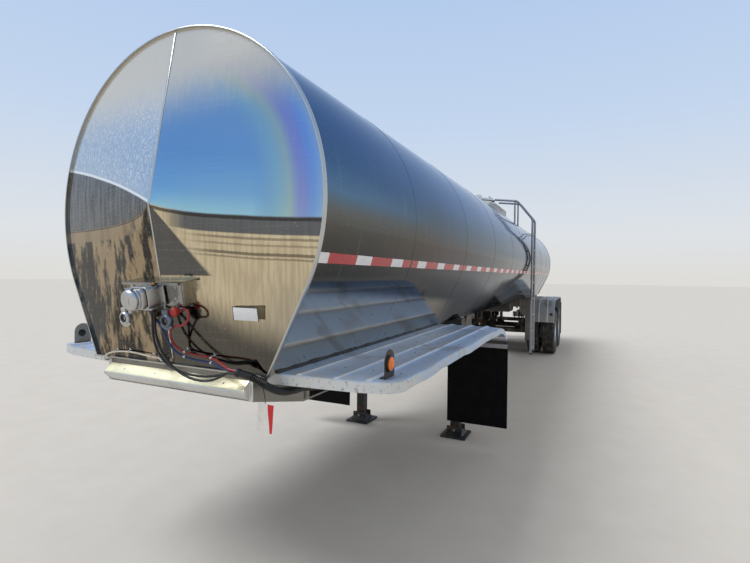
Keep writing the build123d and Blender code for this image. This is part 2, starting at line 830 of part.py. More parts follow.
# Rear subframe: two channel rails, crossmembers and the stays of the rear fenders
rail_bottom = FLOOR_Z - RAIL_DEPTH
rail_front = station(SUBFRAME_STATION)
rail_rear = REAR_RIM_X - SUBFRAME_TAIL
axle_places = [station(FRONT_AXLE_STATION), station(FRONT_AXLE_STATION + AXLE_SPACING)]
middle_x = sum(axle_places) / 2
stay_places = (axle_places[0] + 250, middle_x, axle_places[1] - 250)
stay_z = REAR_FENDER_CREST - FENDER_SHEET - FENDER_STAY_RADIUS
with BuildPart() as rear_subframe:
    for side in SIDES:
        with Locations(((rail_front + rail_rear) / 2, side * SPRING_Y, FLOOR_Z)):
            Box(
                rail_front - rail_rear,
                RAIL_WIDTH,
                RAIL_DEPTH,
                align=(Align.CENTER, Align.CENTER, Align.MAX),
            )
        with Locations(
            ((rail_front + rail_rear) / 2, side * (SPRING_Y - RAIL_WALL), FLOOR_Z - RAIL_DEPTH / 2)
        ):
            Box(
                rail_front - rail_rear,
                RAIL_WIDTH,
                RAIL_DEPTH - 2 * RAIL_WALL,
                mode=Mode.SUBTRACT,
            )
    with BuildSketch(barrel_plane(REAR_RIM_X - RIM_WIDTH / 2)):
        with BuildLine():
            barrel_outline(TANK_RADIUS + RIM_PROUD, FLOOR_DROP + RIM_PROUD)
        make_face()
    extrude(amount=RIM_WIDTH, mode=Mode.SUBTRACT)
    member_places = (
        rail_front - CROSSMEMBER_THICKNESS,
        axle_places[0] + MAIN_LEAF_HALF,
        middle_x,
        axle_places[1] - MAIN_LEAF_HALF,
    )
    for member_x in member_places:
        with Locations((member_x, 0, FLOOR_Z)):
            Box(
                CROSSMEMBER_THICKNESS,
                2 * (SPRING_Y + RAIL_WIDTH / 2 - RAIL_WALL),
                CROSSMEMBER_DEPTH,
                align=(Align.CENTER, Align.CENTER, Align.MAX),
            )
    for stay_x in stay_places:
        for side in SIDES:
            with BuildSketch(Plane.XZ.offset(-side * (SPRING_Y + RAIL_WIDTH / 2))):
                with Locations((stay_x, stay_z)):
                    Circle(FENDER_STAY_RADIUS)
            extrude(amount=-side * (OVERALL_HALF_WIDTH - FENDER_SHEET - SPRING_Y - RAIL_WIDTH / 2))
save(rear_subframe, "rear_subframe")

# Portal bulkhead ahead of the wheels, open below between its two legs
with BuildPart() as portal_bulkhead:
    with BuildSketch(Plane.YZ.offset(station(BULKHEAD_STATION))):
        with BuildLine():
            beam_z = FLOOR_Z - BULKHEAD_BEAM
            leg_in = BULKHEAD_HALF_WIDTH - BULKHEAD_LEG
            half_outline = [
                (BULKHEAD_HALF_WIDTH, FLOOR_Z),
                (BULKHEAD_HALF_WIDTH, BULKHEAD_BOTTOM),
                (leg_in, BULKHEAD_BOTTOM),
                (leg_in, beam_z - BULKHEAD_GUSSET),
                (leg_in - BULKHEAD_GUSSET, beam_z),
            ]
            Polyline(*half_outline, *[(-y, z) for y, z in reversed(half_outline)], close=True)
        make_face()
        for side in SIDES:
            with Locations((side * SPRING_Y, FLOOR_Z - RAIL_DEPTH / 2)):
                Rectangle(RAIL_WIDTH, RAIL_DEPTH, mode=Mode.SUBTRACT)
    extrude(amount=BULKHEAD_THICKNESS / 2, both=True)
save(portal_bulkhead, "portal_bulkhead")

# Spring hangers and equalizers: paired cheeks under the rails
spring_seat_z = TYRE_RADIUS + AXLE_TUBE_RADIUS + SPRING_SEAT
main_leaf_top = spring_seat_z + LEAF_COUNT * LEAF_THICKNESS
leaf_centre_z = main_leaf_top + LEAF_RADIUS
leaf_end_z = leaf_centre_z - sqrt(LEAF_RADIUS**2 - MAIN_LEAF_HALF**2)
cam_lean = asin((MAIN_LEAF_HALF - CAM_INSET) / LEAF_RADIUS)
cam_orbit = LEAF_RADIUS - CAM_RADIUS - CAM_GAP
cam_reach = cam_orbit * sin(cam_lean)
cam_z = leaf_centre_z - cam_orbit * cos(cam_lean)
front_hanger_x = axle_places[0] + cam_reach
rear_hanger_x = axle_places[1] - cam_reach
hanger_bottom = leaf_end_z - HANGER_DROP
hanger_inside = SPRING_WIDTH + 2 * HANGER_GAP
with BuildPart() as spring_hangers:
    for hanger_x in (front_hanger_x, middle_x, rear_hanger_x):
        for side in SIDES:
            for face in SIDES:
                cheek_y = side * SPRING_Y + face * (hanger_inside + HANGER_CHEEK) / 2
                with BuildSketch(side_plane(cheek_y + HANGER_CHEEK / 2)):
                    with BuildLine():
                        Polyline(
                            (hanger_x - HANGER_TOP_LENGTH / 2, rail_bottom),
                            (hanger_x + HANGER_TOP_LENGTH / 2, rail_bottom),
                            (hanger_x + HANGER_BOTTOM_LENGTH / 2, hanger_bottom),
                            (hanger_x - HANGER_BOTTOM_LENGTH / 2, hanger_bottom),
                            close=True,
                        )
                    make_face()
                extrude(amount=HANGER_CHEEK)
            with Locations((hanger_x, side * SPRING_Y, rail_bottom)):
                Box(
                    HANGER_TOP_LENGTH,
                    hanger_inside + 2 * HANGER_CHEEK,
                    HANGER_CHEEK,
                    align=(Align.CENTER, Align.CENTER, Align.MAX),
                )
    for hanger_x in (front_hanger_x, rear_hanger_x):
        for side in SIDES:
            with BuildSketch(side_plane(side * SPRING_Y + hanger_inside / 2)):
                with Locations((hanger_x, cam_z)):
                    Circle(CAM_RADIUS)
            extrude(amount=hanger_inside)
save(spring_hangers, "spring_hangers")

# Each equalizer rocks on a pin and bears on two leaf ends with its round tips
equalizer_reach = AXLE_SPACING / 2 - cam_reach
with BuildPart() as equalizers:
    for side in SIDES:
        with BuildSketch(side_plane(side * SPRING_Y + EQUALIZER_WIDTH / 2)):
            with Locations((middle_x - equalizer_reach, cam_z), (middle_x + equalizer_reach, cam_z)):
                Circle(CAM_RADIUS)
            with Locations((middle_x, cam_z + EQUALIZER_RISE)):
                Circle(EQUALIZER_HUB)
            make_hull()
            with Locations((middle_x, cam_z)):
                Rectangle(
                    2 * equalizer_reach,
                    CAM_RADIUS,
                    align=(Align.CENTER, Align.MAX),
                    mode=Mode.SUBTRACT,
                )
            with Locations((middle_x - equalizer_reach, cam_z), (middle_x + equalizer_reach, cam_z)):
                Circle(CAM_RADIUS)
        extrude(amount=EQUALIZER_WIDTH)
        with BuildSketch(side_plane(side * SPRING_Y + hanger_inside / 2)):
            with Locations((middle_x, cam_z + EQUALIZER_RISE)):
                Circle(EQUALIZER_PIN)
        extrude(amount=hanger_inside)
save(equalizers, "equalizers")

# Leaf springs: six leaves on one centre, each shorter than the one above it
with BuildPart() as leaf_springs:
    for axle_x in axle_places:
        for side in SIDES:
            for leaf in range(LEAF_COUNT):
                inner = LEAF_RADIUS + leaf * LEAF_THICKNESS
                outer = inner + LEAF_THICKNESS
                reach = MAIN_LEAF_HALF - leaf * LEAF_STEP
                lean = asin(reach / inner)
                with BuildSketch(side_plane(side * SPRING_Y + SPRING_WIDTH / 2)):
                    with BuildLine():
                        ends = [
                            (axle_x + turn * radius * sin(lean), leaf_centre_z - radius * cos(lean))
                            for radius, turn in ((inner, -1), (inner, 1), (outer, 1), (outer, -1))
                        ]
                        ThreePointArc(ends[0], (axle_x, leaf_centre_z - inner), ends[1])
                        Line(ends[1], ends[2])
                        ThreePointArc(ends[2], (axle_x, leaf_centre_z - outer), ends[3])
                        Line(ends[3], ends[0])
                    make_face()
                extrude(amount=SPRING_WIDTH)
save(leaf_springs, "leaf_springs")

# Axles: tube, spindles, spring seats, dust shields and the clamps around the springs
mounting_y = OUTER_TYRE_Y - DUAL_SPACING / 2
drum_mouth = mounting_y - DISC_THICKNESS - DRUM_LENGTH
shield_y = drum_mouth - SHIELD_GAP
spindle_end = mounting_y + HUB_REACH - 30
clamp_rise = LEAF_RADIUS - sqrt(LEAF_RADIUS**2 - CLAMP_HALF_LENGTH**2)
with BuildPart() as axles:
    for axle_x in axle_places:
        with BuildSketch(Plane.XZ.offset(-shield_y)):
            with Locations((axle_x, TYRE_RADIUS)):
                Circle(AXLE_TUBE_RADIUS)
        extrude(amount=2 * shield_y)
        with BuildSketch(Plane.XZ.offset(-spindle_end)):
            with Locations((axle_x, TYRE_RADIUS)):
                Circle(SPINDLE_RADIUS)
        extrude(amount=2 * spindle_end)
        for side in SIDES:
            with BuildSketch(Plane.XZ.offset(-side * shield_y)):
                with Locations((axle_x, TYRE_RADIUS)):
                    Circle(SHIELD_RADIUS)
            extrude(amount=side * 6)
            with Locations((axle_x, side * SPRING_Y, TYRE_RADIUS)):
                Box(
                    2 * CLAMP_HALF_LENGTH,
                    SPRING_WIDTH + 6 * U_BOLT_RADIUS,
                    AXLE_TUBE_RADIUS + SPRING_SEAT,
                    align=(Align.CENTER, Align.CENTER, Align.MIN),
                )
    for axle_x in axle_places:
        for side in SIDES:
            clamp_bottom = main_leaf_top + clamp_rise
            with Locations((axle_x, side * SPRING_Y, clamp_bottom)):
                Box(
                    2 * CLAMP_HALF_LENGTH,
                    SPRING_WIDTH + 6 * U_BOLT_RADIUS,
                    CLAMP_PLATE,
                    align=(Align.CENTER, Align.CENTER, Align.MIN),
                )
            for along in SIDES:
                for across in SIDES:
                    with BuildSketch(Plane.XY.offset(spring_seat_z)):
                        with Locations(
                            (
                                axle_x + along * (CLAMP_HALF_LENGTH - 2 * U_BOLT_RADIUS),
                                side * SPRING_Y + across * (SPRING_WIDTH / 2 + 1.4 * U_BOLT_RADIUS),
                            )
                        ):
                            Circle(U_BOLT_RADIUS)
                    extrude(amount=clamp_bottom + CLAMP_PLATE + 30 - spring_seat_z)
save(axles, "axles")

# Brake chambers, each on a bracket behind its axle
with BuildPart() as brake_chambers:
    for axle_x in axle_places:
        for side in SIDES:
            with BuildSketch(Plane.YZ.offset(axle_x - CHAMBER_OFFSET)):
                with Locations((side * CHAMBER_Y, TYRE_RADIUS + 30)):
                    Circle(CHAMBER_RADIUS)
            extrude(amount=CHAMBER_LENGTH / 2, both=True)
            with BuildSketch(Plane.YZ.offset(axle_x - CHAMBER_OFFSET)):
                with Locations((side * CHAMBER_Y, TYRE_RADIUS + 30)):
                    Circle(CHAMBER_RADIUS + 9)
            extrude(amount=12, both=True)
            bracket_back = axle_x - CHAMBER_OFFSET + CHAMBER_LENGTH / 2
            with Locations((bracket_back, side * CHAMBER_Y, TYRE_RADIUS + 20)):
                Box(
                    axle_x - bracket_back,
                    70,
                    24,
                    align=(Align.MIN, Align.CENTER, Align.CENTER),
                )
        with BuildSketch(Plane.XZ.offset(-shield_y)):
            with Locations((axle_x, TYRE_RADIUS)):
                Circle(AXLE_TUBE_RADIUS)
        extrude(amount=2 * shield_y, mode=Mode.SUBTRACT)
save(brake_chambers, "brake_chambers")

# Air reservoirs across the trailer, hung from the floor by straps
reservoir_z = FLOOR_Z - RESERVOIR_GAP - RESERVOIR_RADIUS
reservoir_places = [station(RESERVOIR_STATION + n * RESERVOIR_SPACING) for n in range(2)]
with BuildPart() as air_reservoirs:
    for tank_x in reservoir_places:
        with BuildSketch(Plane.XZ.offset(-RESERVOIR_LENGTH / 2)):
            with Locations((tank_x, reservoir_z)):
                Circle(RESERVOIR_RADIUS)
        extrude(amount=RESERVOIR_LENGTH)
    fillet(air_reservoirs.edges().filter_by(GeomType.CIRCLE), RESERVOIR_RADIUS * 0.35)
    for tank_x in reservoir_places:
        for side in SIDES:
            strap_y = side * RESERVOIR_LENGTH * 0.27
            with BuildSketch(side_plane(strap_y + 20)):
                with Locations((tank_x, reservoir_z)):
                    Circle(RESERVOIR_RADIUS + 5)
                with Locations((tank_x, FLOOR_Z)):
                    Rectangle(90, RESERVOIR_GAP + 30, align=(Align.CENTER, Align.MAX))
            extrude(amount=40)
save(air_reservoirs, "air_reservoirs")


# Rear fenders: ribbed arches over both axles
def rear_fender_path():
    """The arch's side line, from its front edge over both axles to its rear edge."""
    front = axle_places[0] + REAR_FENDER_REACH
    rear = axle_places[1] - REAR_FENDER_REACH
    shoulder_z = REAR_FENDER_CREST - REAR_FENDER_SHOULDER
    FilletPolyline(
        (front, REAR_FENDER_EDGE),
        (front - 20, shoulder_z),
        (front - REAR_FENDER_SHOULDER, REAR_FENDER_CREST),
        (rear + REAR_FENDER_SHOULDER, REAR_FENDER_CREST),
        (rear + 20, shoulder_z),
        (rear, REAR_FENDER_EDGE),
        radius=REAR_FENDER_BEND,
    )


REAR_FENDER_RIBS = (700, 880, 1060)
with BuildPart() as rear_fenders:
    with BuildSketch(side_plane(OVERALL_HALF_WIDTH)):
        with BuildLine():
            rear_fender_path()
            offset(amount=FENDER_SHEET, side=Side.LEFT)
        make_face()
    extrude(amount=OVERALL_HALF_WIDTH - REAR_FENDER_INNER)
    for rib_y in REAR_FENDER_RIBS:
        with BuildSketch(side_plane(rib_y + RIB_WIDTH / 2)):
            with BuildLine():
                rear_fender_path()
                offset(amount=RIB_HEIGHT, side=Side.RIGHT)
            make_face()
        extrude(amount=RIB_WIDTH)
    mirror(about=Plane.XZ)
save(rear_fenders, "rear_fenders")

# Wheels: twin tyres on twin rims with one hub and brake drum
inner_tyre_y = OUTER_TYRE_Y - DUAL_SPACING
half_tyre = TYRE_WIDTH / 2
tyre_profile = (
    # across the tyre, radius
    (-RIM_BARREL / 2, RIM_RADIUS),
    (-half_tyre + 14, RIM_RADIUS + 26),
    (-half_tyre, TYRE_RADIUS - 118),
    (-half_tyre + 6, TYRE_RADIUS - 50),
    (-TREAD_WIDTH / 2, TYRE_RADIUS),
    (TREAD_WIDTH / 2, TYRE_RADIUS),
    (half_tyre - 6, TYRE_RADIUS - 50),
    (half_tyre, TYRE_RADIUS - 118),
    (half_tyre - 14, RIM_RADIUS + 26),
    (RIM_BARREL / 2, RIM_RADIUS),
)
rim_profile = (
    # across the wheel from its tyre's middle, radius; the disc sits towards the twin
    (RIM_BARREL / 2, RIM_RADIUS),
    (RIM_BARREL / 2, RIM_RADIUS - RIM_WALL),
    (-RIM_BARREL / 2 + 30, RIM_RADIUS - RIM_WALL - 14),
    (-DUAL_SPACING / 2 + DISC_THICKNESS, DISC_RADIUS),
    (-DUAL_SPACING / 2 + DISC_THICKNESS, HUB_RADIUS),
    (-DUAL_SPACING / 2, HUB_RADIUS),
    (-DUAL_SPACING / 2, DISC_RADIUS),
    (-RIM_BARREL / 2, RIM_RADIUS - RIM_WALL),
    (-RIM_BARREL / 2, RIM_RADIUS),
)
hub_profile = (
    # distance from the mounting plane, radius
    (HUB_REACH, 0),
    (HUB_REACH, HUB_CAP_RADIUS),
    (HUB_REACH - 40, HUB_RADIUS),
    (-DISC_THICKNESS, HUB_RADIUS),
    (-DISC_THICKNESS, DRUM_RADIUS),
    (-DISC_THICKNESS - DRUM_LENGTH, DRUM_RADIUS),
    (-DISC_THICKNESS - DRUM_LENGTH, DRUM_RADIUS - 22),
    (-DISC_THICKNESS - 20, DRUM_RADIUS - 22),
    (-DISC_THICKNESS - 20, HUB_RADIUS),
    (-DISC_THICKNESS - DRUM_LENGTH * 0.6, HUB_RADIUS),
    (-DISC_THICKNESS - DRUM_LENGTH * 0.6, SPINDLE_RADIUS + BEARING_CLEARANCE),
    (HUB_REACH - 26, SPINDLE_RADIUS + BEARING_CLEARANCE),
    (HUB_REACH - 26, 0),
)


def turned(points, shift, side, axle_x):
    """Turn a profile of across-and-radius points about an axle, mirrored for the right side."""
    axle_plane = Plane(origin=(axle_x, 0, TYRE_RADIUS), x_dir=(0, 1, 0), z_dir=(1, 0, 0))
    with BuildPart() as ring:
        with BuildSketch(axle_plane):
            with BuildLine():
                Polyline(*[(side * (shift + across), radius) for across, radius in points], close=True)
            make_face()
        revolve(axis=Axis((axle_x, 0, TYRE_RADIUS), (0, 1, 0)))
    return ring.part


wheel_sets = [
    (axle_name, side_name, axle_x, side)
    for axle_name, axle_x in zip(("front", "rear"), axle_places)
    for side_name, side in (("left", 1), ("right", -1))
]
for axle_name, side_name, axle_x, side in wheel_sets:
    with BuildPart() as tyres:
        add(turned(tyre_profile, OUTER_TYRE_Y, side, axle_x))
        add(turned(tyre_profile, inner_tyre_y, side, axle_x))
    save(tyres, f"tyres_{axle_name}_{side_name}")
    with BuildPart() as wheels:
        add(turned(rim_profile, OUTER_TYRE_Y, side, axle_x))
        add(turned([(-y, r) for y, r in rim_profile], inner_tyre_y, side, axle_x))
        add(turned(hub_profile, mounting_y, side, axle_x))
    save(wheels, f"wheels_{axle_name}_{side_name}")

# Manhole collar with its hinge lugs
manhole_x = station(MANHOLE_STATION)
collar_top = TANK_TOP_Z + MANHOLE_RISE
lid_bottom = collar_top + LID_SEAT
lid_hinge = (manhole_x + MANHOLE_RADIUS + LID_OVERLAP + LID_HINGE_REACH, collar_top + LID_KNUCKLE_RADIUS)
shell_cut = barrel_solid(manhole_x - 2 * PLATFORM_HALF_LENGTH, manhole_x + 2 * PLATFORM_HALF_LENGTH)
with BuildPart() as manhole_collar:
    with BuildSketch(Plane.XY.offset(collar_top)):
        with Locations((manhole_x, 0)):
            Circle(MANHOLE_RADIUS)
    extrude(amount=-MANHOLE_RISE * 2)
    add(shell_cut, mode=Mode.SUBTRACT)
    with BuildSketch(Plane.XY.offset(collar_top)):
        with Locations((manhole_x, 0)):
            Circle(MANHOLE_RADIUS - MANHOLE_WALL)
    extrude(amount=-MANHOLE_RISE * 0.75, mode=Mode.SUBTRACT)
    for side in SIDES:
        lug_width = LID_LUG_HALF - LID_EAR_HALF
        with BuildSketch(side_plane(side * (LID_EAR_HALF + LID_GAP) + (lug_width if side > 0 else 0))):
            with BuildLine():
                Polyline(
                    (manhole_x + MANHOLE_RADIUS - MANHOLE_WALL, collar_top - 6),
                    (lid_hinge[0] - LID_KNUCKLE_RADIUS, collar_top - 6),
                    (lid_hinge[0] - LID_KNUCKLE_RADIUS, lid_hinge[1]),
                    (lid_hinge[0] + LID_KNUCKLE_RADIUS, lid_hinge[1]),
                    (lid_hinge[0] + LID_KNUCKLE_RADIUS, collar_top - 40),
                    (manhole_x + MANHOLE_RADIUS - MANHOLE_WALL, collar_top - 100),
                    close=True,
                )
            make_face()
            with Locations(lid_hinge):
                Circle(LID_KNUCKLE_RADIUS)
                Circle(LID_PIN_RADIUS, mode=Mode.SUBTRACT)
        extrude(amount=lug_width)
save(manhole_collar, "manhole_collar")

lid_radius = MANHOLE_RADIUS + LID_OVERLAP
with BuildPart() as manhole_lid:
    with BuildSketch(Plane.XZ):
        with BuildLine():
            Polyline(
                (manhole_x, lid_bottom + LID_SKIRT),
                (manhole_x, lid_bottom),
                (manhole_x + lid_radius, lid_bottom),
                (manhole_x + lid_radius, lid_bottom + LID_SKIRT),
            )
            ThreePointArc(
                (manhole_x + lid_radius, lid_bottom + LID_SKIRT),
                (manhole_x + lid_radius * 0.55, lid_bottom + LID_SKIRT + LID_CROWN * 0.72),
                (manhole_x, lid_bottom + LID_SKIRT + LID_CROWN),
            )
            Line((manhole_x, lid_bottom + LID_SKIRT + LID_CROWN), (manhole_x, lid_bottom + LID_SKIRT))
        make_face()
    revolve(axis=Axis((manhole_x, 0, 0), (0, 0, 1)))
    with BuildSketch(side_plane(LID_EAR_HALF)):
        with BuildLine():
            Polyline(
                (manhole_x + lid_radius - 60, lid_bottom),
                (lid_hinge[0] - LID_KNUCKLE_RADIUS, lid_bottom),
                (lid_hinge[0], lid_hinge[1]),
                (lid_hinge[0], lid_hinge[1] + LID_KNUCKLE_RADIUS),
                (manhole_x + lid_radius - 60, lid_hinge[1] + LID_KNUCKLE_RADIUS),
                close=True,
            )
        make_face()
        with Locations(lid_hinge):
            Circle(LID_KNUCKLE_RADIUS)
    extrude(amount=2 * LID_EAR_HALF)
    pin_half = LID_LUG_HALF + LID_GAP + 8
    with BuildSketch(side_plane(pin_half)):
        with Locations(lid_hinge):
            Circle(LID_PIN_RADIUS - BEARING_CLEARANCE)
    extrude(amount=2 * pin_half)
    with BuildSketch(Plane.XY.offset(lid_bottom + LID_SKIRT)):
        with Locations((manhole_x, 0)):
            Circle(VENT_RADIUS)
    extrude(amount=LID_CROWN + 60)
save(manhole_lid, "manhole_lid")

# Platform pan around the manhole, with a vent dome ahead of it
with BuildPart() as top_platform:
    with Locations((manhole_x, 0, TANK_TOP_Z + PLATFORM_RISE)):
        Box(
            2 * PLATFORM_HALF_LENGTH,
            2 * PLATFORM_HALF_WIDTH,
            PLATFORM_EDGE + PLATFORM_RISE + TANK_RADIUS / 4,
            align=(Align.CENTER, Align.CENTER, Align.MAX),
        )
    with Locations((manhole_x, 0, TANK_TOP_Z + PLATFORM_RISE - PLATFORM_SHEET)):
        Box(
            2 * (PLATFORM_HALF_LENGTH - PLATFORM_SHEET),
            2 * (PLATFORM_HALF_WIDTH - PLATFORM_SHEET),
            PLATFORM_EDGE + PLATFORM_RISE + TANK_RADIUS / 2,
            align=(Align.CENTER, Align.CENTER, Align.MAX),
            mode=Mode.SUBTRACT,
        )
    add(shell_cut, mode=Mode.SUBTRACT)
    with BuildSketch(Plane.XY.offset(TANK_TOP_Z + PLATFORM_RISE)):
        with Locations((manhole_x, 0)):
            Circle(MANHOLE_RADIUS)
    extrude(amount=-PLATFORM_RISE, mode=Mode.SUBTRACT)
    with BuildSketch(Plane.XY.offset(TANK_TOP_Z + PLATFORM_RISE)):
        with Locations((manhole_x + VENT_OFFSET, 0)):
            Circle(VENT_RADIUS)
    extrude(amount=VENT_HEIGHT)
    fillet(top_platform.edges().group_by(Axis.Z)[-1], VENT_RADIUS * 0.4)
save(top_platform, "top_platform")

# Ladder on the left side
ladder_x = station(LADDER_STATION)
ladder_cut = barrel_solid(ladder_x - 2 * LADDER_HALF_WIDTH, ladder_x + 2 * LADDER_HALF_WIDTH)
ladder_top = RAIL_SHOULDER_Z - RAIL_BEND
with BuildPart() as ladder:
    for end in SIDES:
        rail_x = ladder_x + end * LADDER_HALF_WIDTH
        with BuildSketch(Plane.XY.offset(LADDER_BOTTOM)):
            with Locations((rail_x, LADDER_Y)):
                Circle(LADDER_TUBE)
        extrude(amount=ladder_top - LADDER_BOTTOM)
        for rise in STANDOFF_RISES:
            with Locations((rail_x, LADDER_Y, TANK_AXIS_HEIGHT + rise)):
                Box(
                    2 * STANDOFF_HALF_WIDTH,
                    LADDER_Y,
                    STANDOFF_THICKNESS,
                    align=(Align.CENTER, Align.MAX, Align.CENTER),
                )
    for rung in range(RUNG_COUNT):
        rung_z = LADDER_BOTTOM + RUNG_START + rung * RUNG_PITCH
        with BuildSketch(Plane.YZ.offset(ladder_x - LADDER_HALF_WIDTH)):
            with Locations((LADDER_Y, rung_z)):
                Circle(RUNG_RADIUS)
        extrude(amount=2 * LADDER_HALF_WIDTH)
    add(ladder_cut, mode=Mode.SUBTRACT)
save(ladder, "ladder")

# Handrails: the ladder's rails arched in over the barrel, each with a post down to the shell
with BuildPart() as ladder_handrails:
    for end in SIDES:
        rail_x = ladder_x + end * LADDER_HALF_WIDTH
        with BuildLine() as rail_line:
            FilletPolyline(
                (rail_x, LADDER_Y, ladder_top),
                (rail_x, LADDER_Y, RAIL_SHOULDER_Z),
                (rail_x, *RAIL_KNEE),
                (rail_x, *RAIL_END),
                radius=RAIL_BEND,
            )
        with BuildSketch(Plane.XY.offset(ladder_top)):
            with Locations((rail_x, LADDER_Y)):
                Circle(LADDER_TUBE)
        sweep(path=rail_line.wires()[0])
        with BuildSketch(Plane.XY.offset(RAIL_KNEE[1])):
            with Locations((rail_x, POST_Y)):
                Circle(POST_RADIUS)
        extrude(amount=-(RAIL_KNEE[1] - TANK_AXIS_HEIGHT - TANK_RADIUS / 2))
    add(ladder_cut, mode=Mode.SUBTRACT)
save(ladder_handrails, "ladder_handrails")

# Nose box on the head's lower face, with a capped socket and two gladhands
nose_plane = Plane(
    origin=(
        FRONT_RIM_X + head_reach(NOSE_BOX_DROP),
        0,
        TANK_AXIS_HEIGHT - NOSE_BOX_DROP,
    ),
    x_dir=(0, 1, 0),
    z_dir=(cos(radians(HEAD_TILT)), 0, -sin(radians(HEAD_TILT))),
)
with BuildPart() as nose_box:
    with BuildSketch(nose_plane):
        Rectangle(2 * NOSE_BOX_HALF_WIDTH, NOSE_BOX_HEIGHT)
    extrude(amount=NOSE_BOX_DEPTH)
    with BuildSketch(nose_plane):
        with Locations((0, NOSE_BOX_HEIGHT / 2)):
            Rectangle(
                2 * NOSE_BOX_HALF_WIDTH + NOSE_BOX_LEDGE,
                NOSE_BOX_FLANGE,
                align=(Align.CENTER, Align.MIN),
            )
    extrude(amount=NOSE_BOX_DEPTH + NOSE_BOX_LEDGE)
save(nose_box, "nose_box")

with BuildPart() as power_socket:
    with BuildSketch(nose_plane.offset(NOSE_BOX_DEPTH)):
        RectangleRounded(2 * SOCKET_HALF_WIDTH + 22, SOCKET_HEIGHT * 0.9, 12)
    extrude(amount=9)
    with BuildSketch(nose_plane.offset(NOSE_BOX_DEPTH + 9)):
        RectangleRounded(2 * SOCKET_HALF_WIDTH, SOCKET_HEIGHT * 0.86, 22)
    extrude(amount=SOCKET_DEPTH - 9)
    with BuildSketch(nose_plane.offset(NOSE_BOX_DEPTH + SOCKET_DEPTH)):
        Circle(SOCKET_CAP_RADIUS)
    extrude(amount=SOCKET_CAP)
save(power_socket, "power_socket")

gladhand_v = NOSE_BOX_DROP - GLADHAND_DROP
with BuildPart() as gladhands:
    for place in GLADHAND_PLACES:
        with BuildSketch(nose_plane.offset(GLADHAND_OUT)):
            with Locations((place, gladhand_v)):
                Circle(GLADHAND_RADIUS)
            with Locations((place, gladhand_v + GLADHAND_RADIUS)):
                Rectangle(GLADHAND_RADIUS * 1.3, GLADHAND_RADIUS * 1.3)
        extrude(amount=GLADHAND_BODY)
        with BuildSketch(nose_plane.offset(GLADHAND_OUT + GLADHAND_BODY)):
            with Locations((place, gladhand_v)):
                Circle(GLADHAND_PORT)
        extrude(amount=-GLADHAND_BODY * 0.6, mode=Mode.SUBTRACT)
        with BuildSketch(nose_plane):
            with Locations((place, gladhand_v + GLADHAND_RADIUS)):
                Circle(GLADHAND_NECK)
        extrude(amount=GLADHAND_OUT)
save(gladhands, "gladhands")

# Hose elbows beside the gladhands and the boot under the socket: each ends where its cord starts
ELBOW_LENGTH = 46
BOOT_RADIUS = 17
BOOT_LENGTH = 26
with BuildPart() as cord_fittings:
    for route in (RED_HOSE_POINTS, BLUE_HOSE_POINTS):
        start, after = (frame_point(point) for point in route[:2])
        with BuildSketch(Plane(origin=start, z_dir=after - start)):
            Circle(ELBOW_RADIUS)
        extrude(amount=-ELBOW_LENGTH)
    boot_start = frame_point(UPPER_CABLE_POINTS[0])
    boot_next = frame_point(UPPER_CABLE_POINTS[1])
    with BuildSketch(Plane(origin=(boot_start.X, 0, boot_start.Z), z_dir=boot_next - boot_start)):
        Circle(BOOT_RADIUS)
    extrude(amount=-BOOT_LENGTH)
    add(gladhands.part, mode=Mode.SUBTRACT)
    add(power_socket.part, mode=Mode.SUBTRACT)
save(cord_fittings, "cord_fittings")


# Cords at the nose
def route_radii(points):
    """The largest tangent arc at each corner that its two runs allow."""
    radii = []
    for before, here, after in zip(points, points[1:], points[2:]):
        turn = radians((here - before).get_angle(after - here))
        radii.append(0.45 * min((here - before).length, (after - here).length) / tan(turn / 2))
    return radii


def cord_tube(route, radius, name):
    """A plain tube of straight runs joined by tangent arcs along a route."""
    points = [frame_point(point) for point in route]
    radii = route_radii(points)
    with BuildPart() as tube:
        with BuildLine() as line:
            FilletPolyline(*points, radius=radii)
        with BuildSketch(Plane(origin=points[0], z_dir=points[1] - points[0])):
            Circle(radius)
        sweep(path=line.wires()[0])
    length = line.wires()[0].length
    ratio = tube.part.volume / (3.14159265 * radius**2 * length)
    print(name, "length", round(length), "volume ratio", round(ratio, 4), "radii", [round(r) for r in radii])
    save(tube, name)


cord_tube(SLEEVE_POINTS, SLEEVE_RADIUS, "cable_sleeve")
cord_tube(RED_HOSE_POINTS, HOSE_RADIUS, "hose_red")
cord_tube(BLUE_HOSE_POINTS, HOSE_RADIUS, "hose_blue")
cord_tube(UPPER_CABLE_POINTS, CABLE_RADIUS, "cable_upper")
cord_tube(LOWER_CABLE_POINTS, CABLE_RADIUS, "cable_lower")
cord_tube(SIDE_LEAD_POINTS, LEAD_RADIUS, "side_lead")

# Clips that stand the hoses and the side lead off the head, and the lead's gland
CLIPS = (
    # left of the centre line, highest and lowest drop, how far ahead of the rim the cord's back lies
    (118, 738, 782, 27),
    (292, 748, 792, 26.5),
    (-330, 768, 794, 16.5),
    (-150, 778, 804, 22),
    (-440, 776, 800, 17),
)
GLAND_SIZE = 30
with BuildPart() as cable_clips:
    for clip_y, high, low, reach in CLIPS:
        with Locations((FRONT_RIM_X, clip_y, TANK_AXIS_HEIGHT - high)):
            Box(
                reach - CLIP_GAP,
                2 * CLIP_HALF_WIDTH,
                low - high,
                align=(Align.MIN, Align.CENTER, Align.MAX),
            )
    lead_end = SIDE_LEAD_POINTS[-1]
    with Locations((FRONT_RIM_X, lead_end[1], TANK_AXIS_HEIGHT - lead_end[2])):
        Box(
            lead_end[0] + GLAND_SIZE / 2,
            GLAND_SIZE,
            GLAND_SIZE,
            align=(Align.MIN, Align.MIN, Align.CENTER),
        )
    add(front_cone, mode=Mode.SUBTRACT)
save(cable_clips, "cable_clips")

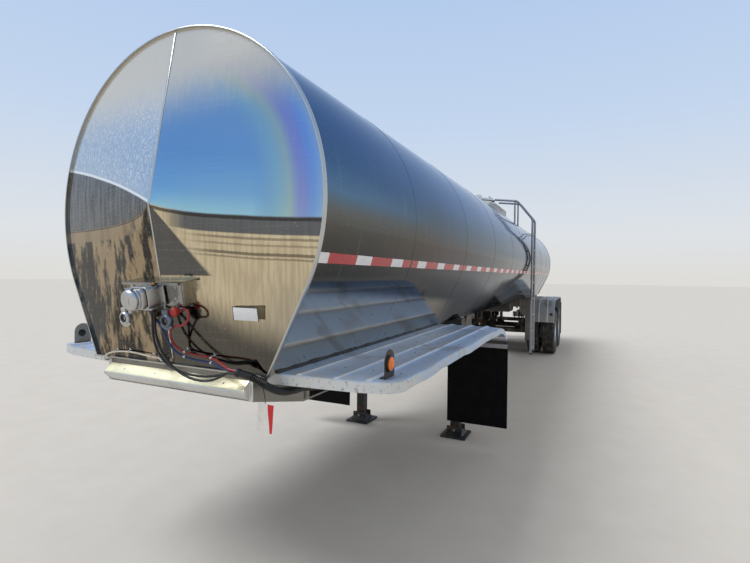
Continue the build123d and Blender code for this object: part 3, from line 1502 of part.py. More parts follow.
# Rear cabinet: a hollow box against the rear head, open at the back
cabinet_back = REAR_RIM_X - CABINET_DEPTH
cabinet_height = CABINET_TOP - CABINET_BOTTOM
with BuildPart() as valve_cabinet:
    with Locations((REAR_RIM_X - RIM_WIDTH / 2, 0, CABINET_BOTTOM)):
        Box(
            CABINET_DEPTH - RIM_WIDTH / 2,
            2 * CABINET_HALF_WIDTH,
            cabinet_height,
            align=(Align.MAX, Align.CENTER, Align.MIN),
        )
    with Locations((REAR_RIM_X - RIM_WIDTH / 2 - CABINET_WALL, 0, CABINET_BOTTOM + CABINET_WALL)):
        Box(
            CABINET_DEPTH,
            2 * (CABINET_HALF_WIDTH - CABINET_WALL),
            cabinet_height - 2 * CABINET_WALL,
            align=(Align.MAX, Align.CENTER, Align.MIN),
            mode=Mode.SUBTRACT,
        )
    with Locations((REAR_RIM_X, 0, FLOOR_Z)):
        Box(
            CABINET_DEPTH,
            2 * (CABINET_HALF_WIDTH - CABINET_WALL),
            CABINET_TOP - CABINET_WALL - FLOOR_Z,
            align=(Align.MAX, Align.CENTER, Align.MIN),
            mode=Mode.SUBTRACT,
        )
    add(rear_cone, mode=Mode.SUBTRACT)
    hinge_y = CABINET_HALF_WIDTH + DOOR_HINGE_OFFSET
    hinge_x = cabinet_back - DOOR_SEAT - DOOR_THICKNESS / 2
    hinge_heights = (CABINET_BOTTOM + DOOR_HINGE_INSET, CABINET_TOP - DOOR_HINGE_INSET)
    for side in SIDES:
        for height in hinge_heights:
            for end in SIDES:
                knuckle_z = height + end * (DOOR_KNUCKLE_LENGTH / 2 + 1)
                with BuildSketch(Plane.XY.offset(knuckle_z)):
                    with Locations((hinge_x, side * hinge_y)):
                        Circle(DOOR_KNUCKLE_RADIUS)
                    with Locations((hinge_x, side * (hinge_y + DOOR_KNUCKLE_RADIUS))):
                        Rectangle(
                            DOOR_THICKNESS / 2 + DOOR_SEAT + 40,
                            8,
                            align=(Align.MIN, Align.MAX if side > 0 else Align.MIN),
                        )
                    with Locations((cabinet_back, side * CABINET_HALF_WIDTH)):
                        Rectangle(
                            40,
                            DOOR_HINGE_OFFSET + 4,
                            align=(Align.MIN, Align.MIN if side > 0 else Align.MAX),
                        )
                extrude(amount=end * 30)
            with BuildSketch(Plane.XY.offset(height)):
                with Locations((hinge_x, side * hinge_y)):
                    Circle(DOOR_PIN_RADIUS)
            extrude(amount=DOOR_KNUCKLE_LENGTH / 2 + 20, both=True)
save(valve_cabinet, "valve_cabinet")

for side_name, side in (("left", 1), ("right", -1)):
    with BuildPart() as cabinet_door:
        with Locations((cabinet_back - DOOR_SEAT, side * DOOR_GAP / 2, CABINET_BOTTOM)):
            Box(
                DOOR_THICKNESS,
                CABINET_HALF_WIDTH - DOOR_GAP / 2,
                cabinet_height,
                align=(Align.MAX, Align.MIN if side > 0 else Align.MAX, Align.MIN),
            )
        for height in hinge_heights:
            with BuildSketch(Plane.XY.offset(height)):
                with Locations((hinge_x, side * hinge_y)):
                    Circle(DOOR_KNUCKLE_RADIUS)
                with Locations((hinge_x, side * hinge_y)):
                    Rectangle(
                        DOOR_KNUCKLE_RADIUS,
                        DOOR_HINGE_OFFSET + 2,
                        align=(Align.CENTER, Align.MAX if side > 0 else Align.MIN),
                    )
                with Locations((hinge_x, side * hinge_y)):
                    Circle(DOOR_PIN_RADIUS + BEARING_CLEARANCE, mode=Mode.SUBTRACT)
            extrude(amount=DOOR_KNUCKLE_LENGTH / 2, both=True)
    save(cabinet_door, f"cabinet_door_{side_name}")

# Outlet valve inside the cabinet: a pipe from the head to a clamp ferrule
with BuildPart() as outlet_valve:
    elbow_z = FLOOR_Z + OUTLET_RISE
    ferrule_x = REAR_RIM_X - OUTLET_REACH
    drop_x = REAR_RIM_X - OUTLET_REACH * 0.5
    pipe = OUTLET_BORE + OUTLET_WALL
    with BuildLine() as pipe_line:
        FilletPolyline(
            (REAR_RIM_X - OUTLET_SEAT, 0, elbow_z),
            (drop_x, 0, elbow_z),
            (drop_x, 0, OUTLET_HEIGHT),
            (ferrule_x, 0, OUTLET_HEIGHT),
            radius=min(pipe * 1.3, 0.45 * (elbow_z - OUTLET_HEIGHT)),
        )
    with BuildSketch(Plane(origin=(REAR_RIM_X - OUTLET_SEAT, 0, elbow_z), z_dir=(-1, 0, 0))):
        Circle(pipe)
    sweep(path=pipe_line.wires()[0])
    add(rear_cone, mode=Mode.SUBTRACT)
    with BuildSketch(Plane(origin=(ferrule_x, 0, OUTLET_HEIGHT), z_dir=(-1, 0, 0))):
        Circle(FERRULE_RADIUS)
    extrude(amount=-12)
    with BuildSketch(Plane(origin=(ferrule_x, 0, OUTLET_HEIGHT), z_dir=(-1, 0, 0))):
        Circle(OUTLET_BORE)
    extrude(amount=-60, mode=Mode.SUBTRACT)
    with Locations((drop_x, 0, (elbow_z + OUTLET_HEIGHT) / 2)):
        Cylinder(pipe + VALVE_COLLAR, VALVE_HEIGHT)
        Box(VALVE_LEVER[0], 2 * pipe + VALVE_LEVER[1], VALVE_LEVER[2])
save(outlet_valve, "outlet_valve")

# Rear bumper under the rails, with round lamps on panels beside the cabinet
bumper_x = rail_rear + STRUT_WIDTH / 2
with BuildPart() as rear_bumper:
    with Locations((bumper_x, 0, BUMPER_BOTTOM)):
        Box(BUMPER_SECTION, 2 * BUMPER_HALF_WIDTH, BUMPER_SECTION, align=(Align.CENTER, Align.CENTER, Align.MIN))
    for side in SIDES:
        with Locations((bumper_x, side * SPRING_Y, BUMPER_BOTTOM + BUMPER_SECTION)):
            Box(
                STRUT_WIDTH,
                RAIL_WIDTH,
                rail_bottom - BUMPER_BOTTOM - BUMPER_SECTION,
                align=(Align.CENTER, Align.CENTER, Align.MIN),
            )
save(rear_bumper, "rear_bumper")

lamp_panel_x = rail_rear + STRUT_WIDTH
panel_inner = SPRING_Y + RAIL_WIDTH / 2
panel_width = BUMPER_HALF_WIDTH - panel_inner
with BuildPart() as lamp_panels:
    for side in SIDES:
        with Locations((lamp_panel_x, side * panel_inner, LAMP_HEIGHT)):
            Box(
                LAMP_PANEL_THICKNESS,
                panel_width,
                LAMP_PANEL_HEIGHT,
                align=(Align.CENTER, Align.MIN if side > 0 else Align.MAX, Align.CENTER),
            )
save(lamp_panels, "lamp_panels")

with BuildPart() as rear_lamps:
    for side in SIDES:
        for lamp in range(3):
            lamp_y = side * (panel_inner + panel_width / 2 + (lamp - 1) * LAMP_PITCH)
            with BuildSketch(Plane.YZ.offset(lamp_panel_x - LAMP_PANEL_THICKNESS / 2)):
                with Locations((lamp_y, LAMP_HEIGHT)):
                    Circle(LAMP_RADIUS)
            extrude(amount=-LAMP_DEPTH)
save(rear_lamps, "rear_lamps")
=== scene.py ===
from math import asin, atan2, cos, hypot, pi, radians, sin

import bmesh
import bpy
from mathutils import Matrix, Vector, noise


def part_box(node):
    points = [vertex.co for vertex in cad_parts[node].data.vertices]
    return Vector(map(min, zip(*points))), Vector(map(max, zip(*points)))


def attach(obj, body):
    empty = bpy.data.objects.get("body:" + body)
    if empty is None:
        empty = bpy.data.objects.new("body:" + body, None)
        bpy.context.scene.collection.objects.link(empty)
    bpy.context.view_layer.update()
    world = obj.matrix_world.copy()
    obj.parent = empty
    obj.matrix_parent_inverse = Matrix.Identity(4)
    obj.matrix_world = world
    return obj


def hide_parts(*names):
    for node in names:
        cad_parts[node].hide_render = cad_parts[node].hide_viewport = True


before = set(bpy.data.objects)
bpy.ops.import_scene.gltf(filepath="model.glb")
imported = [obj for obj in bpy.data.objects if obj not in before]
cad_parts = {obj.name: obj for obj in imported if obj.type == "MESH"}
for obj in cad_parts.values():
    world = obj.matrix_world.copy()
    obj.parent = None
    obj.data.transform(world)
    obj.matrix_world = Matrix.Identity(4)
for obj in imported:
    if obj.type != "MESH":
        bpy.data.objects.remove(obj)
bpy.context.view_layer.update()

# Places on the trailer, in metres
SIDES = (1, -1)
SIDE_NAMES = {1: "left", -1: "right"}
RIM_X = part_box("tank_shell")[1].x
TAIL_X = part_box("tank_shell")[0].x
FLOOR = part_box("tank_shell")[0].z
AXIS = 2.15
RADIUS = 0.915
DROP = AXIS - FLOOR
LEAN = radians(26.5)
BULGE = 0.16
FRONT_RIBS = (0.74, 0.93, 1.08)
REAR_RIBS = (0.7, 0.88, 1.06)
TRAILER = "trailer"
FORWARD, BACK, LEFT, UP, DOWN = (1, 0, 0), (-1, 0, 0), (0, 1, 0), (0, 0, 1), (0, 0, -1)


def station(distance):
    """The X of a place this far behind the front rim."""
    return RIM_X - distance


def ahead(point):
    """A place given forward of the front rim, left of the centre and below the tank axis, in mm."""
    return Vector((RIM_X + point[0] / 1000, point[1] / 1000, AXIS - point[2] / 1000))


# Shader maths: a socket that adds its Math nodes when it is used in an expression
class Link:
    def __init__(self, paint, socket):
        self.paint = paint
        self.socket = socket

    def maths(self, operation, first, second=0.0):
        return self.paint.node("ShaderNodeMath", {"operation": operation}, {0: first, 1: second, 2: 0.0})

    def __add__(self, other):
        return self.maths("ADD", self, other)

    __radd__ = __add__

    def __mul__(self, other):
        return self.maths("MULTIPLY", self, other)

    __rmul__ = __mul__

    def __sub__(self, other):
        return self.maths("SUBTRACT", self, other)

    def __rsub__(self, other):
        return self.maths("SUBTRACT", other, self)

    def __truediv__(self, other):
        return self.maths("DIVIDE", self, other)

    def __pow__(self, other):
        return self.maths("POWER", self, other)

    def __abs__(self):
        return self.maths("ABSOLUTE", self)

    def __mod__(self, other):
        return self.maths("FLOORED_MODULO", self, other)

    def over(self, low, high):
        """0 below low, 1 above high and smooth between them; with low above high it falls."""
        settings = {"interpolation_type": "SMOOTHSTEP", "clamp": True}
        return self.paint.node("ShaderNodeMapRange", settings, {0: self, 1: low, 2: high, 3: 0.0, 4: 1.0})

    def near(self, centre, reach, soft):
        """1 within reach of centre, fading to 0 over soft."""
        return abs(self - centre).over(reach + soft, reach)


def tone(*seen):
    """A colour as seen, 0 to 255, as the linear colour that a shader takes."""
    return (*(((c / 255 + 0.055) / 1.055) ** 2.4 if c > 10 else c / 3295 for c in seen), 1.0)


def scaled(colour, factor, lift=0.0):
    """A linear colour made lighter or darker."""
    return (*(c * factor + lift for c in colour[:3]), 1.0)


def set_stops(ramp, stops):
    """Gives a colour ramp its positions and colours."""
    while len(ramp.elements) < len(stops):
        ramp.elements.new(0.5)
    for element, (position, colour) in zip(ramp.elements, stops):
        element.position = position
        element.color = colour


class Paint:
    """A procedural material on Object coordinates."""

    def __init__(self, name, **fixed):
        self.material = bpy.data.materials.new(name)
        self.material.use_nodes = True
        self.tree = self.material.node_tree
        self.shader = self.tree.nodes["Principled BSDF"]
        self.place = self.node("ShaderNodeTexCoord", output="Object")
        axes = self.tree.nodes.new("ShaderNodeSeparateXYZ")
        self.tree.links.new(self.place.socket, axes.inputs[0])
        self.x, self.y, self.z = (Link(self, axes.outputs[i]) for i in range(3))
        for socket, value in fixed.items():
            self.set(socket.replace("_", " "), value)

    def feed(self, socket, value):
        if isinstance(value, Link):
            self.tree.links.new(value.socket, socket)
        else:
            socket.default_value = value

    def node(self, kind, settings=(), sockets=(), output=0):
        """Adds a node: its settings, then the values or links of its sockets."""
        made = self.tree.nodes.new(kind)
        for setting, value in dict(settings).items():
            if setting == "stops":
                set_stops(made.color_ramp, value)
            else:
                setattr(made, setting, value)
        for socket, value in dict(sockets).items():
            self.feed(made.inputs[socket], value)
        return Link(self, made.outputs[output])

    def set(self, socket, value):
        self.feed(self.shader.inputs[socket], value)

    def noise(self, scale, detail=3.0, stretch=(1, 1, 1), shift=(0, 0, 0), rough=0.55):
        """Even noise around 0.5 whose grains are stretched along each axis."""
        spread = tuple(scale / s for s in stretch)
        where = self.node("ShaderNodeMapping", {}, {"Vector": self.place, "Location": shift, "Scale": spread})
        sockets = {"Vector": where, "Scale": 1.0, "Detail": detail, "Roughness": rough}
        return self.node("ShaderNodeTexNoise", {}, sockets)

    def cells(self, scale, feature="F1"):
        where = self.node("ShaderNodeMapping", {}, {"Vector": self.place, "Scale": (scale, scale, scale)})
        return self.node("ShaderNodeTexVoronoi", {"feature": feature}, {"Vector": where, "Scale": 1.0})

    def mix(self, first, second, factor):
        """One colour over another."""
        sockets = {0: factor, 6: first, 7: second}
        return self.node("ShaderNodeMix", {"data_type": "RGBA"}, sockets, output=2)

    def ramp(self, value, *stops):
        return self.node("ShaderNodeValToRGB", {"stops": stops}, {0: value})

    def cover(self, colour, mask):
        """Lays a colour over the base colour that the material has so far."""
        base = Link(self, self.shader.inputs["Base Color"].links[0].from_socket)
        self.set("Base Color", self.mix(base, colour, mask))

    def bump(self, height, distance=0.001, strength=1.0):
        sockets = {"Height": height, "Distance": distance, "Strength": strength}
        self.set("Normal", self.node("ShaderNodeBump", {}, sockets))


# Mesh helpers: each adds a shape to a bmesh with its place already in it
def fresh():
    return bmesh.new()


def verts_in(geometry):
    return [g for g in geometry if isinstance(g, bmesh.types.BMVert)]


def softened(bm, geometry, offset, segments=2, affect="EDGES"):
    bmesh.ops.bevel(
        bm, geom=list(geometry), offset=offset, segments=segments, profile=0.5, affect=affect, material=-1
    )


def swept(bm, geometry, centre, axis, angle, steps, merged=False):
    """Sweeps geometry about an axis and gives the last of it."""
    made = bmesh.ops.spin(
        bm, geom=geometry, cent=centre, axis=axis, angle=angle, steps=steps, use_merge=merged,
        use_duplicate=False,
    )
    return made["geom_last"]


def chain(bm, places):
    """Vertices at places, and an edge from each to the next."""
    verts = [bm.verts.new(place) for place in places]
    return verts, [bm.edges.new(pair) for pair in zip(verts, verts[1:])]


def thickened(bm, faces, depth):
    """Gives faces a thickness along a vector."""
    moved = verts_in(bmesh.ops.extrude_face_region(bm, geom=list(faces))["geom"])
    bmesh.ops.translate(bm, vec=depth, verts=moved)


def add_part(bm, part):
    """Adds a bmesh to another and frees it."""
    shape = bpy.data.meshes.new("part")
    part.to_mesh(shape)
    part.free()
    bm.from_mesh(shape)
    bpy.data.meshes.remove(shape)


def turned_to(direction):
    """A turn that takes +Z to a direction."""
    return Vector(direction).to_track_quat("Z", "Y").to_matrix().to_4x4()


def block(bm, centre, size, turn=None, bevel=0.0, segments=2, index=0):
    """A box with softened edges."""
    made = bmesh.ops.create_cube(bm, size=1.0)["verts"]
    bmesh.ops.scale(bm, vec=size, verts=made)
    matrix = Matrix.Translation(centre) @ (turn or Matrix())
    bmesh.ops.transform(bm, matrix=matrix, verts=made)
    faces = {f for v in made for f in v.link_faces}
    for face in faces:
        face.material_index = index
    if bevel:
        softened(bm, {e for v in made for e in v.link_edges}, bevel, segments)


def slab(bm, low, high, bevel=0.0, segments=2, index=0):
    """A box from its lowest to its highest corner."""
    low, high = Vector(low), Vector(high)
    block(bm, (low + high) / 2, [abs(c) for c in high - low], bevel=bevel, segments=segments, index=index)


def rod(bm, start, end, radius, tip=None, sides=24, index=0):
    """A round bar or cone between two places."""
    start, end = Vector(start), Vector(end)
    matrix = Matrix.Translation((start + end) / 2) @ turned_to(end - start)
    made = bmesh.ops.create_cone(
        bm,
        cap_ends=True,
        segments=sides,
        radius1=radius,
        radius2=radius if tip is None else tip,
        depth=(end - start).length,
        matrix=matrix,
    )["verts"]
    for face in {f for v in made for f in v.link_faces}:
        face.material_index = index


def lathe(bm, profile, origin, axis, steps=48, index=0):
    """A profile of (along, radius) points turned about an axis through an origin."""
    origin, axis = Vector(origin), Vector(axis).normalized()
    out = axis.orthogonal().normalized()
    verts, edges = chain(bm, [origin + axis * along + out * radius for along, radius in profile])
    known = set(bm.faces)
    swept(bm, verts + edges, origin, axis, 2 * pi, steps, merged=True)
    for face in bm.faces:
        if face not in known:
            face.material_index = index


def plate(bm, outline, depth):
    """A flat outline of places given a thickness along a vector."""
    face = bm.faces.new([bm.verts.new(point) for point in outline])
    thickened(bm, [face], depth)


def hex_bolt(bm, place, direction, size=0.01, index=0):
    """A bolt's washer and hexagon head."""
    place, direction = Vector(place), Vector(direction).normalized()
    rod(bm, place, place + direction * size * 0.2, size * 1.05, sides=14, index=index)
    base = place + direction * size * 0.2
    rod(bm, base, base + direction * size * 0.55, size * 0.85, sides=6, index=index)
    top = base + direction * size * 0.55
    rod(bm, top, top + direction * size * 0.12, size * 0.85, size * 0.66, sides=6, index=index)


def offset_slab(bm, base, low, high, bevel, **look):
    """A box given from a base place."""
    slab(bm, [b + c for b, c in zip(base, low)], [b + c for b, c in zip(base, high)], bevel, **look)


def offset_rod(bm, base, start, end, radius, tip=None, **look):
    """A round bar given from a base place."""
    rod(bm, base + Vector(start), base + Vector(end), radius, tip, **look)


def around(middle, radius, count, shift=0.0, axes=(FORWARD, UP)):
    """Places evenly round a circle that lies along two axes."""
    places = []
    for turn in range(count):
        angle = 2 * pi * (turn + shift) / count
        first, second = radius * cos(angle), radius * sin(angle)
        places.append(Vector([m + first * a + second * b for m, a, b in zip(middle, *axes)]))
    return places


def sheet(columns, rows, width, height):
    """A flat sheet of cells around the origin."""
    bm = fresh()
    bmesh.ops.create_grid(bm, x_segments=columns, y_segments=rows, size=0.5)
    bmesh.ops.scale(bm, vec=(width, height, 1), verts=bm.verts)
    return bm


def hang(bm, turns, place, thickness):
    """Turns a sheet about the axes, moves it to its place and thickens it."""
    for angle, axis in turns:
        bmesh.ops.rotate(bm, cent=(0, 0, 0), matrix=Matrix.Rotation(angle, 3, axis), verts=bm.verts)
    bmesh.ops.translate(bm, vec=place, verts=bm.verts)
    bmesh.ops.solidify(bm, geom=list(bm.faces), thickness=thickness)


def grown_edge(bm, edges, move):
    """Extends edges along a vector, and gives the new far edges and their vertices."""
    grown = bmesh.ops.extrude_edge_only(bm, edges=edges)["geom"]
    moved = verts_in(grown)
    bmesh.ops.translate(bm, vec=move, verts=moved)
    far = [g for g in grown if isinstance(g, bmesh.types.BMEdge) and all(v in moved for v in g.verts)]
    return far, moved


def finished(bm, name, paints, body=TRAILER, stands_for="", angle=35, outward=True):
    """The bmesh as a piece on its body, smooth but for edges sharper than an angle."""
    bmesh.ops.remove_doubles(bm, verts=bm.verts, dist=1e-6)
    if outward:
        bmesh.ops.recalc_face_normals(bm, faces=bm.faces)
    mesh = bpy.data.meshes.new(name)
    bm.to_mesh(mesh)
    bm.free()
    for paint in paints if isinstance(paints, list) else [paints]:
        mesh.materials.append(paint.material)
    mesh.shade_smooth()
    mesh.set_sharp_from_angle(angle=radians(angle))
    piece = bpy.data.objects.new(name, mesh)
    bpy.context.scene.collection.objects.link(piece)
    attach(piece, body)
    if stands_for:
        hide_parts(stands_for)


def smooth_line(name, places, radius, rounds=5, steps=14):
    """A smooth line through places, as a round curve."""
    curve = bpy.data.curves.new(name, "CURVE")
    curve.dimensions = "3D"
    curve.resolution_u = steps
    curve.bevel_depth = radius
    curve.bevel_resolution = rounds
    curve.use_fill_caps = True
    spline = curve.splines.new("NURBS")
    spline.points.add(len(places) - 1)
    for point, place in zip(spline.points, places):
        point.co = (*place, 1.0)
    spline.order_u = 3
    spline.use_endpoint_u = True
    piece = bpy.data.objects.new(name, curve)
    bpy.context.scene.collection.objects.link(piece)
    return piece


def mesh_of(piece):
    """The mesh of a curve, in place of the curve."""
    mesh = bpy.data.meshes.new_from_object(piece.evaluated_get(bpy.context.evaluated_depsgraph_get()))
    bpy.data.objects.remove(piece)
    return mesh


def dress(node, paint):
    """Gives a CAD node its procedural finish."""
    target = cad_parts[node]
    target.data.materials.clear()
    target.data.materials.append(paint.material)
    for polygon in target.data.polygons:
        polygon.material_index = 0


# Finishes
def mirror_steel(name, along, painted_reflections, haze=0.5):
    """Polished stainless sheet: painted reflections in its base colour, polishing streaks along one axis,
    faint dents and water spots.
    """
    paint = Paint(name, Metallic=1.0)
    streaks = paint.noise(1.0, 5.0, stretch=tuple(a * 0.6 for a in along))
    fine = paint.noise(1.0, 4.0, stretch=tuple(a * 0.12 + 0.0005 for a in along), shift=(3, 1, 7))
    clouds = paint.noise(1.6, 4.0, shift=(5, 2, 9))
    spots = paint.noise(95.0, 2.0).over(0.66, 0.74)
    # The base colour starts from painted reflections of sky, horizon and ground
    shade = painted_reflections(paint, streaks, clouds)
    dull = (clouds.over(0.45, 0.75) * 0.5 + streaks.over(0.4, 0.7) * 0.5) * haze
    rough = dull * 0.16 + fine * 0.05 + spots * 0.06 + 0.035
    waves = paint.noise(1.1, 2.0, shift=(8, 8, 1))
    paint.bump(waves * 0.004 + fine * 0.00006, distance=1.0, strength=0.55)
    paint.set("Base Color", paint.mix(shade, tone(190, 188, 184), spots * 0.35))
    paint.set("Roughness", rough)
    return paint


def barrel_painted_reflections(paint, streaks, clouds):
    """Painted reflections: a deep cold sky tint over warm greys at the front; painted sky blue, a dark band
    and tan ground towards the tail.
    """
    height = (paint.z - FLOOR) / (AXIS + RADIUS - FLOOR) + clouds * 0.05 - 0.025
    # Painted reflections of ground, horizon and sky by height, near the rim, in the middle and towards the
    # rear
    near = paint.ramp(
        height,
        (0.0, tone(128, 124, 118)),
        (0.14, tone(168, 164, 156)),
        (0.27, tone(62, 61, 59)),
        (0.37, tone(85, 81, 73)),
        (0.45, tone(106, 106, 100)),
        (0.5, tone(100, 126, 146)),
        (0.58, tone(84, 108, 134)),
        (0.7, tone(78, 104, 138)),
        (1.0, tone(108, 128, 154)),
    )
    middle = paint.ramp(
        height,
        (0.0, tone(92, 88, 80)),
        (0.16, tone(78, 73, 65)),
        (0.27, tone(86, 72, 56)),
        (0.39, tone(104, 84, 58)),
        (0.46, tone(96, 90, 78)),
        (0.51, tone(90, 94, 92)),
        (0.6, tone(92, 108, 130)),
        (0.72, tone(92, 116, 150)),
        (1.0, tone(118, 138, 164)),
    )
    rear = paint.ramp(
        height,
        (0.0, tone(104, 94, 76)),
        (0.2, tone(146, 130, 104)),
        (0.38, tone(158, 140, 108)),
        (0.42, tone(130, 116, 92)),
        (0.45, tone(74, 70, 62)),
        (0.6, tone(68, 69, 66)),
        (0.65, tone(104, 124, 156)),
        (0.8, tone(112, 136, 172)),
        (1.0, tone(132, 152, 180)),
    )
    behind = paint.x * -1 + RIM_X
    shade = paint.mix(near, middle, behind.over(0.1, 2.0))
    shade = paint.mix(shade, rear, behind.over(2.6, 6.5))
    # Beside the front fenders the low flank takes a pale painted reflection of them
    painted_fender_reflection = (paint.z + behind * 0.06).over(1.765, 1.685) * behind.over(2.9, 2.1)
    shade = paint.mix(shade, tone(222, 207, 186), painted_fender_reflection * 0.9)
    paint.set("Specular Tint", (0.66, 0.72, 0.8, 1.0))
    return paint.mix(shade, tone(196, 200, 206), streaks.over(0.56, 0.78) * 0.16)


def head_painted_reflections(paint, streaks, clouds):
    """Painted reflections: a pale scratched half with painted glare on the right-hand side, a painted clear
    cold sky with a painted rainbow rim on the left, and painted horizons and ground below.
    """
    level = paint.z - AXIS
    leftward = level.maths("MAXIMUM", paint.y, 0.0)
    rightward = level.maths("MAXIMUM", paint.y * -1, 0.0)
    drift = clouds * 0.02 - 0.01
    rise = level + leftward / (leftward + 0.434) * 0.1355 - rightward / (rightward + 1.64) * 0.734 + drift
    turn = level.maths("ARCTAN2", level, abs(paint.y)) + drift * 2.0
    right_half = (paint.y + level * 0.01).over(0.006, -0.006)
    fine = paint.noise(60.0, 4.0, stretch=(1, 1, 14), shift=(2, 6, 6))

    # Left half below its painted horizon: painted reflections of a dark band, thin lines, tan ground and a
    # dark wedge, darker towards the bottom
    ground = paint.mix(tone(200, 184, 154), tone(220, 206, 174), fine.over(0.35, 0.65))
    low_corner = (paint.y - 0.5).over(-0.1, 0.3) * (level + 0.35).over(0.1, -0.25)
    ground = paint.mix(ground, tone(150, 146, 138), low_corner * 0.6)
    thin_lines = ((0.105, 0.004, 0.55), (0.135, 0.003, 0.4), (0.176, 0.005, 0.7), (0.196, 0.0025, 0.5))
    for depth, reach, strength in thin_lines:
        line = (rise + depth + fine * 0.006 - 0.003).near(0.0, reach, 0.004) * leftward.over(0.12, 0.4)
        ground = paint.mix(ground, tone(84, 76, 66), line * strength)
    band = rise.over(-0.088, -0.08) * leftward.over(0.05, 0.22)
    ground = paint.mix(ground, tone(64, 76, 92), band * 0.85)
    ground = paint.mix(ground, tone(58, 54, 50), rise.near(-0.012, 0.005, 0.006) * 0.8)
    wedge = turn.over(-0.79, -0.84) * (level + 0.355).over(-0.004, 0.004)
    ground = paint.mix(ground, tone(80, 82, 86), wedge * 0.92)
    ground = paint.mix(ground, tone(66, 67, 68), (level + paint.y * 0.35).over(-0.3, -0.52) * 0.9)

    # Right half below its painted horizon: painted reflections of speckled grey, a tan strip and broken dark
    # shapes
    shelf = level + rightward / (rightward + 0.1) * 0.115 + drift
    speckle = paint.noise(150.0, 3.0, shift=(4, 4, 4)).over(0.58, 0.66)
    grey = paint.mix(tone(78, 78, 78), tone(124, 124, 124), fine.over(0.3, 0.7))
    grey = paint.mix(grey, tone(176, 176, 174), speckle * 0.5)
    shapes = paint.noise(5.0, 5.0, stretch=(1, 0.55, 1.6), shift=(3, 7, 1), rough=0.7)
    broken = paint.mix(tone(168, 150, 122), tone(66, 64, 60), (shapes + level * -0.06).over(0.46, 0.58))
    strip = shelf.over(-0.075, -0.065) * rightward.over(0.05, 0.3)
    broken = paint.mix(broken, tone(160, 142, 116), strip * 0.8)
    grey = paint.mix(broken, grey, shelf.over(-0.003, 0.003))
    grey = paint.mix(grey, tone(70, 64, 58), shelf.near(-0.006, 0.002, 0.004) * 0.7)
    low = paint.mix(ground, grey, right_half)

    # Above the painted horizon: painted reflections of clear blue sky, a painted rainbow sheen near the rim
    # and painted dull cream glare at the top
    clear = paint.ramp(
        rise / 0.95,
        (0.0, tone(160, 206, 222)),
        (0.1, tone(134, 182, 216)),
        (0.3, tone(122, 166, 208)),
        (0.5, tone(132, 170, 206)),
        (1.0, tone(170, 188, 204)),
    )
    radius = (paint.y * paint.y + level * level) ** 0.5 / RADIUS + fine * 0.03 - 0.015
    side_band = paint.ramp(
        radius,
        (0.64, tone(124, 164, 206)),
        (0.76, tone(146, 186, 198)),
        (0.82, tone(172, 190, 176)),
        (0.87, tone(150, 146, 200)),
        (0.91, tone(138, 146, 208)),
        (0.95, tone(122, 160, 222)),
        (1.0, tone(160, 184, 208)),
    )
    top_band = paint.ramp(
        radius,
        (0.58, tone(138, 172, 204)),
        (0.72, tone(160, 194, 196)),
        (0.79, tone(200, 200, 160)),
        (0.84, tone(206, 184, 186)),
        (0.9, tone(196, 188, 176)),
        (1.0, tone(204, 196, 182)),
    )
    banded = paint.mix(side_band, top_band, level.over(0.34, 0.66))
    clear = paint.mix(clear, banded, leftward.over(0.12, 0.5) * radius.over(0.6, 0.74) * 0.75)
    swirls = paint.noise(34.0, 6.0, stretch=(1, 0.5, 1.6), rough=0.8, shift=(1, 9, 4)).over(0.53, 0.66)
    scratches = paint.noise(60.0, 5.0, stretch=(1, 0.35, 1.2), rough=0.85, shift=(7, 1, 5)).over(0.55, 0.6)
    # worn joins real swirls and scratches with a painted brightening higher up the head
    worn = swirls * 0.35 + scratches * level.near(0.34, 0.16, 0.24) * 1.2 + rise.over(0.15, 0.75) * 0.5
    haze_with_painted_glare = paint.mix(tone(180, 196, 212), tone(246, 247, 246), worn)
    top = paint.mix(clear, haze_with_painted_glare, right_half)
    # Painted dull cream glare towards the top
    cream = (level - leftward * 0.1 + fine * 0.1 - 0.05).over(0.34, 0.72)
    top = paint.mix(top, tone(226, 216, 198), cream * 0.85)
    above = rise.over(-0.005, 0.005)
    paint.set("Metallic", 1.0 - above * (right_half * (worn * 0.35 + 0.1) * (1.0 - cream) + cream * 0.5))
    shade = paint.mix(low, top, above)
    # A thin painted highlight along the horizon of the right half
    shade = paint.mix(shade, tone(250, 250, 246), rise.near(0.008, 0.004, 0.006) * right_half)
    return paint.mix(shade, tone(224, 226, 226), streaks.over(0.56, 0.85) * 0.16)


def metal(name, colour, rough, grain=(1, 1, 1), speck=0.3, dirt=None, bump=0.0006):
    """Bare metal with a grain, patches and a little dirt."""
    paint = Paint(name, Metallic=1.0)
    fine = paint.noise(160.0, 3.0, stretch=grain)
    patches = paint.noise(6.0, 5.0, shift=(2, 4, 6))
    lighter = [min(1.0, c) for c in scaled(colour, 1.25)]
    shade = paint.mix(scaled(colour, 0.72), lighter, fine * 0.6 + patches * 0.5 - 0.1)
    if dirt:
        mask = paint.noise(3.2, 6.0, rough=0.68, shift=(7, 3, 5)).over(0.52, 0.66)
        shade = paint.mix(shade, dirt, mask * speck)
        paint.set("Metallic", 1.0 - mask * speck)
        paint.set("Roughness", mask * speck * 0.4 + patches * 0.15 + rough - 0.07)
    else:
        paint.set("Roughness", patches * 0.18 + fine * 0.08 + rough - 0.13)
    paint.set("Base Color", shade)
    paint.bump(fine, distance=bump, strength=0.35)
    return paint


